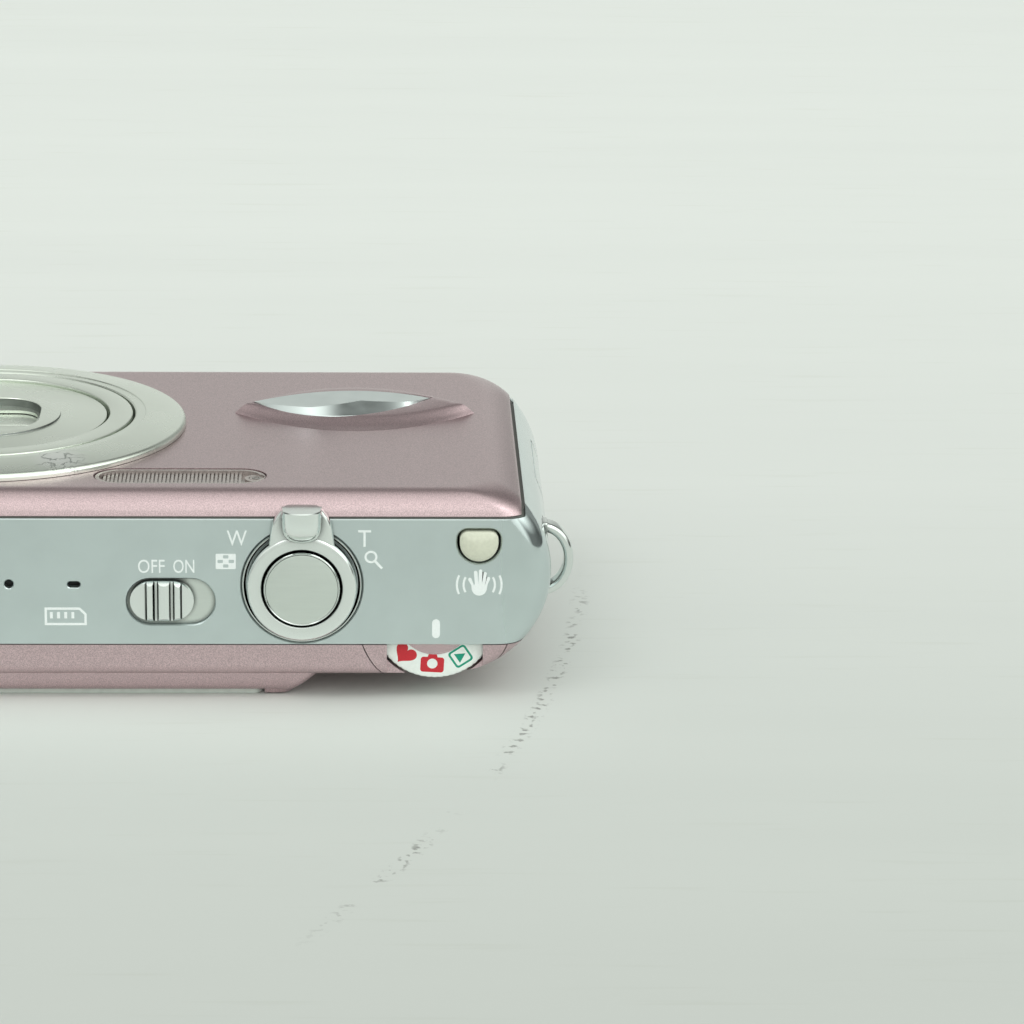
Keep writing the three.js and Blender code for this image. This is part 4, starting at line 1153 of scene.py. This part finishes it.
def power_switch():
    """A sliding button with three rounded ridges between sharp grooves."""
    low, high = node_box("power_switch_knob")
    low, high = low + Vector((0.06, 0, 0.06)), high - Vector((0.06, 0, 0.06))
    crest, valley, groove, shoulder = 0.74, 0.36, 0.12, 0.42
    profile = [(low.x - 1, -0.5), (high.x + 1, -0.5), (high.x + 1, 0.02), (8.3, shoulder), (8.22, groove)]
    for x0, x1 in ((8.15, 7.45), (7.0, 5.8), (5.3, 4.6)):
        middle, half = (x0 + x1) / 2, (x0 - x1) / 2
        profile.append((x0 + 0.02, groove))
        for i in range(11):
            a = math.pi * i / 10
            profile.append((middle + half * math.cos(a), valley + (crest - valley) * math.sin(a) ** 0.6))
        profile.append((x1 - 0.02, groove))
        profile.append((x1 - 0.1, valley))
        profile.append((x1 - (0.12 if x1 < 5 else 0.35), valley))
    profile += [(4.4, shoulder), (low.x - 1, 0.02)]
    knob = prism("power_knob_skin", polygon(profile), low.z - 1, high.z + 1,
                 lambda x, h, z: (x, -HALF_HEIGHT - h, z))
    levels = [(0, -0.5), (0, 0.1), (-0.06, 0.3), (-0.16, 0.5), (-0.32, 0.66), (-0.5, 0.8)]
    body = stack("body", stadium(low.x, high.x, low.z, high.z), levels, on_top)
    carve(knob, [body], "INTERSECT")
    stem = prism("stem", rounded_rect(5.3, 6.9, 10.3, 11.8, 0.2), -3, 0, on_top)
    carve(knob, [stem], "UNION")
    finish_piece(knob, "power", "chrome", ["power_switch_knob"], "satin_chrome")


def stabiliser_button():
    levels = [(0, -2), (0, 0.05)]
    for i in range(1, 13):
        a = math.pi / 2 * i / 12
        levels.append((-2.0 * (1 - math.cos(a)), 0.05 + 0.55 * math.sin(a)))
    button = stack("stabiliser_skin", domed_stabiliser, levels, on_top)
    finish_piece(button, "stabiliser", "cream_plastic", ["stabiliser_button"])


def mode_dial():
    face, back = -0.75, -5.25

    def knurled(grow):
        ring = []
        for i in range(240):
            a = 2 * math.pi * i / 240
            wave = 0.06 * (1 - abs(math.cos(a * 30)) ** 0.6)
            r = DIAL_R + grow - wave
            ring.append((r * math.cos(a), r * math.sin(a)))
        return ring

    levels = [(-0.25, back), (0, back + 0.25), (0, face - 0.15), (-0.12, face - 0.03), (-0.3, face)]
    dial = stack("mode_dial_skin", knurled, levels, AT_DIAL)
    carve(dial, [prism("bore", circle(1.2, 32), back - 1, face + 1, AT_DIAL)])
    finish_piece(dial, "dial", "dial_white", ["mode_dial"])
    low, high = face - 0.3, face + 0.1
    hub_profile = [(1.15, low), (3.9, low), (3.9, face + 0.04), (3.7, high), (1.15, high)]
    hub = turned("dial_hub", hub_profile, AT_DIAL, 72)
    finish_piece(hub, "dial", "pink_metal")


# ---- Printed marks ---------------------------------------------------------------------------


def print_piece(name, objects, look, body="casing", slot="satin_silver"):
    finish_piece(merge(name, objects), body, slot, (), look)


def words(text, x0, x1, y0, y1, place, base=-0.01):
    """Plain capital letters, flat on a surface, filling the box x0 to x1 by y0 to y1."""
    curve = bpy.data.curves.new(text, "FONT")
    curve.body = text
    curve.extrude = PRINT / 2
    curve.resolution_u = 4
    holder = bpy.data.objects.new(text, curve)
    bpy.context.scene.collection.objects.link(holder)
    graph = bpy.context.evaluated_depsgraph_get()
    mesh = bpy.data.meshes.new_from_object(holder.evaluated_get(graph))
    bpy.data.objects.remove(holder)
    xs = [vertex.co.x for vertex in mesh.vertices]
    ys = [vertex.co.y for vertex in mesh.vertices]
    wide = (x1 - x0) / (max(xs) - min(xs))
    tall = (y1 - y0) / (max(ys) - min(ys))
    points = []
    for vertex in mesh.vertices:
        x, y, h = vertex.co
        points.append(place(x0 + (x - min(xs)) * wide, y0 + (y - min(ys)) * tall, h + base + PRINT / 2))
    faces = [tuple(face.vertices) for face in mesh.polygons]
    bpy.data.meshes.remove(mesh)
    return new_object(text, points, faces)


def mark(outline, place, base=-0.01):
    return prism("mark", outline, base, base + PRINT, place)


def ring_mark(cx, cy, outer, inner, place, start=0, end=360, base=-0.01):
    steps = 40
    full = end - start >= 360
    out = list(arc(cx, cy, outer, outer, start, end, steps))
    back = list(arc(cx, cy, inner, inner, end, start, steps))
    if not full:
        return mark(polygon(out + back), place, base)
    profile = [(inner, base), (outer, base), (outer, base + PRINT), (inner, base + PRINT)]
    return turned("ring", profile, around((cx, cy), place), steps)


def bar(x0, y0, x1, y1, width, place, base=-0.01):
    side = Vector((y0 - y1, x1 - x0)).normalized() * (width / 2)
    start, end = Vector((x0, y0)), Vector((x1, y1))
    corners = (start + side, end + side, end - side, start - side)
    return mark(polygon([tuple(corner) for corner in corners]), place, base)


def top_prints():
    print_piece("switch_words", [
        words("OFF", 3.72, 6.5, 14.2, 15.66, on_top), words("ON", 7.4, 9.6, 14.2, 15.66, on_top),
    ], "print_white")
    print_piece("zoom_letters", [
        words("W", 13.0, 15.1, 17.2, 18.85, on_top), words("T", 26.7, 28.05, 17.1, 18.9, on_top),
    ], "print_white")
    grid = mark(rounded_rect(11.83, 13.93, 14.64, 16.31, 0.1), on_top)
    holes = []
    for cx, cz in ((0, 0.5), (-0.58, 0), (0.58, 0), (0, -0.5)):
        middle_x, middle_z = 12.88 + cx, 15.475 + cz
        cell = rounded_rect(middle_x - 0.28, middle_x + 0.28, middle_z - 0.18, middle_z + 0.18, 0.08)
        holes.append(prism("cell", cell, -1, 1, on_top))
    carve(grid, holes)
    print_piece("thumbnail_icon", [grid], "print_white")
    glass = ring_mark(28.05, 15.98, 0.68, 0.46, on_top)
    carve(glass, [bar(28.45, 15.55, 29.22, 14.72, 0.26, on_top)], "UNION")
    print_piece("magnifier_icon", [glass], "print_white")
    print_piece("index_mark", [mark(stadium_upright(34.9, 7.06, 9.13, 0.42), on_top)], "print_white")
    card_outline = [(-6.1, 8.45), (-1.7, 8.45), (-1.7, 9.7), (-2.4, 10.4), (-6.1, 10.4)]
    card = mark(polygon(card_outline), on_top)
    inner = [(-5.85, 8.7), (-1.95, 8.7), (-1.95, 9.6), (-2.5, 10.15), (-5.85, 10.15)]
    carve(card, [prism("inner", polygon(inner), -1, 1, on_top)])
    contacts = [bar(-5.4 + i * 0.75, 9.2, -5.4 + i * 0.75, 9.9, 0.3, on_top) for i in range(4)]
    print_piece("card_icon", [card, *contacts], "print_white")
    hand_icon()


def stadium_upright(cx, y0, y1, half):
    upper = arc(cx, y1 - half, half, half, 0, 180, 12)
    lower = arc(cx, y0 + half, half, half, 180, 360, 12)
    return polygon([*upper, *lower])


def hand_icon():
    """An open hand between two pairs of shake marks."""
    cx, cz = 39.4, 12.85
    outline = [*arc(cx, cz - 0.2, 0.82, 0.9, 195, 345, 12)]
    half = 0.19
    fingers = (
        (0.78, 0.55, 40, 0.62), (0.5, 0.62, 14, 1.0), (0.12, 0.72, 2, 1.2), (-0.28, 0.68, -12, 1.1),
        (-0.72, 0.15, -42, 0.8),
    )
    for x, z, lean, length in fingers:
        a = math.radians(90 - lean)
        tip = (cx + x * 0.95 + length * math.cos(a) * 0.55, cz + z * 0.55 + length * math.sin(a))
        foot_x, foot_z, side = cx + x * 0.95, cz + z * 0.3, half * math.sin(a)
        tip_arc = arc(*tip, half, half, -lean, 180 - lean, 6)
        outline += [(foot_x + side, foot_z), *tip_arc, (foot_x - side, foot_z)]
    shapes = [mark(polygon(outline), on_top)]
    for middle in (0, 180):
        for r, spread_deg in ((1.75, 30), (2.45, 26)):
            start, end = middle - spread_deg, middle + spread_deg
            shapes.append(ring_mark(cx, cz + 0.1, r, r - 0.22, on_top, start, end))
    print_piece("hand_icon", shapes, "print_white")


def dial_icons():
    """Round the dial: heart, camera and playback marks, then plain shapes out of sight."""
    face = -0.76
    marks = {"print_red": [], "print_green": []}
    for i in range(10):
        pitch = 36.5 if i < 3 else 36
        turn = math.radians(-93 + (i - 1) * pitch)
        kind = ("heart", "camera", "play", "ring", "camera")[i % 5]

        def place(x, y, h, turn=turn):
            radius = 4.93 - y
            px = radius * math.cos(turn) - x * math.sin(turn)
            py = radius * math.sin(turn) + x * math.cos(turn)
            return AT_DIAL(px, py, h + face)

        if kind == "heart":
            marks["print_red"].append(mark(heart_outline, place))
        elif kind == "camera":
            marks["print_red"] += camera_icon(place)
        elif kind == "play":
            marks["print_green"] += play_icon(place)
        else:
            marks["print_green"].append(ring_mark(0, 0, 0.85, 0.6, place))
    for look, shapes in marks.items():
        print_piece(f"dial_{look}", shapes, look, "dial", "dial_white")


def heart_outline(grow):
    ring = []
    for i in range(48):
        t = 2 * math.pi * i / 48
        x = 16 * math.sin(t) ** 3
        y = 13 * math.cos(t) - 5 * math.cos(2 * t) - 2 * math.cos(3 * t) - math.cos(4 * t)
        ring.append((x * 0.076, y * 0.075))
    return ring


def camera_icon(place):
    body = mark(rounded_rect(-1.24, 1.24, -0.95, 0.72, 0.3), place)
    hump = polygon([(-0.6, 0.5), (0.6, 0.5), (0.42, 1.05), (-0.42, 1.05)])
    carve(body, [mark(hump, place)], "UNION")
    carve(body, [prism("hole", circle(0.55, 24), -1, 1, place)])
    return [body]


def play_icon(place):
    frame_mark = mark(rounded_rect(-1.05, 1.05, -1.0, 1.0, 0.35), place)
    carve(frame_mark, [prism("hole", rounded_rect(-0.83, 0.83, -0.78, 0.78, 0.2), -1, 1, place)])
    return [frame_mark, mark(polygon([(-0.45, -0.58), (0.6, 0), (-0.45, 0.58)]), place)]


# ---- Eyelet ----------------------------------------------------------------------------------


def strap_eyelet():
    """A flat strip bent into a D, standing on a bar behind the side wall."""
    low, high = node_box("strap_eyelet")
    y, z = (low.y + high.y) / 2, (low.z + high.z) / 2
    half_y, root = (high.y - low.y) / 2, 46.3
    foot = stack("eyelet_skin", rounded_rect(low.y, high.y, low.z, high.z, 0.3), soft_edges(45.1, 46.8, 0.1),
                 lambda a, b, h: (h, a, b))
    half_thick, reach, tall = 0.5, high.x - 0.5 - root, 3.5
    section = rounded_rect(-half_thick, half_thick, -half_y, half_y, 0.42)(0)
    rings = []
    for a in (math.pi * (i / 48 - 0.5) for i in range(49)):
        centre = Vector((root + reach * math.cos(a), y, z + tall * math.sin(a)))
        out = Vector((tall * math.cos(a), 0, reach * math.sin(a))).normalized()
        rings.append([centre + out * across + Vector((0, side, 0)) for across, side in section])
    carve(foot, [loft("strip", rings)], "UNION")
    finish_piece(foot, "casing", "chrome", ["strap_eyelet"])


# ---- Back ------------------------------------------------------------------------------------


def display():
    low, high = node_box("lcd_window")
    outline = rounded_rect(low.x, high.x, low.y, high.y, 1.2)
    window = stack("lcd_window_skin", outline, soft_edges(low.z, high.z, 0.12))
    finish_piece(window, "casing", "clear_cover", ["lcd_window"])
    inner = rounded_rect(low.x + 0.5, high.x - 0.5, low.y + 0.5, high.y - 0.5, 0.9)
    face = prism("lcd_face", inner, 0.02, 0.10)
    face.data.materials.append(LOOKS["screen"])
    sunk = stack("sunk", inner, [(0.02, -1), (0.02, 0.12)])
    carve(window, [sunk])
    finish_piece(face, "casing", "screen")


def key_outline(middle):
    """A quarter ring with straight sides, a little narrower than its quarter."""
    inner, outer, gap = 3.75, 8.2, 0.3

    def outline(grow):
        half = 45 - math.degrees((gap / 2 - grow) / outer)
        half_in = 45 - math.degrees((gap / 2 - grow) / inner)
        out = arc(0, 0, outer + grow, outer + grow, middle - half, middle + half, 20)
        back = arc(0, 0, inner - grow, inner - grow, middle + half_in, middle - half_in, 14)
        return [*out, *back]
    return outline


def keys():
    low, high = node_box("menu_button")
    rest, proud = high.z, low.z
    names = ("key_right", "key_down", "key_left", "key_up")
    for i, body in enumerate(names):
        key = stack(f"{body}_skin", key_outline(90 * i), soft_edges(proud, rest, 0.18), AT_KEYS)
        finish_piece(key, body, "satin_silver", [f"cursor_{body}"])
        a = math.radians(90 * i)
        tip = Vector((math.cos(a), math.sin(a)))
        side = Vector((-tip.y, tip.x))
        corners = [tip * 6.7, tip * 5.7 + side * 0.55, tip * 5.7 - side * 0.55]
        outline = polygon([tuple(corner) for corner in corners])
        arrow = prism(f"{body}_arrow", outline, proud - PRINT + 0.01, proud + 0.01, AT_KEYS)
        finish_piece(arrow, body, "satin_silver", (), "black_plastic")
    dish = [(0, rest), (3.1, rest), (3.1, proud + 0.05), (2.7, proud), (1.5, proud + 0.12), (0, proud + 0.16)]
    menu = turned("menu_skin", dish, AT_KEYS, 64, 0.08)
    finish_piece(menu, "menu", "satin_silver", ["menu_button"])
    for body in ("display", "delete"):
        low, high = node_box(f"{body}_button")
        spot = around(((low + high) / 2).xy, flat)
        dome = [(0, rest), (2.3, rest), (2.3, proud + 0.2), (1.9, proud + 0.05), (0, proud)]
        finish_piece(turned(f"{body}_skin", dome, spot, 48, 0.1), body, "satin_silver", [f"{body}_button"])


# ---- CAD pieces that stay, with better materials ---------------------------------------------


def dress_cad_nodes():
    for entry in frame["record"]["subparts"]:
        node = frame["nodes"][entry["node"]]
        look = LOOKS[entry["material_slot"]]
        node.data.materials.clear()
        node.data.materials.append(look)


photo_camera()
studio()
dress_cad_nodes()
front_shell()
band()
seam_strips()
trim_rings()
rear_shell()
dial_guard()
base_pieces()
lens()
grip()
flash()
shutter_button()
zoom_lever()
power_switch()
stabiliser_button()
mode_dial()
top_prints()
dial_icons()
strap_eyelet()
display()
keys()
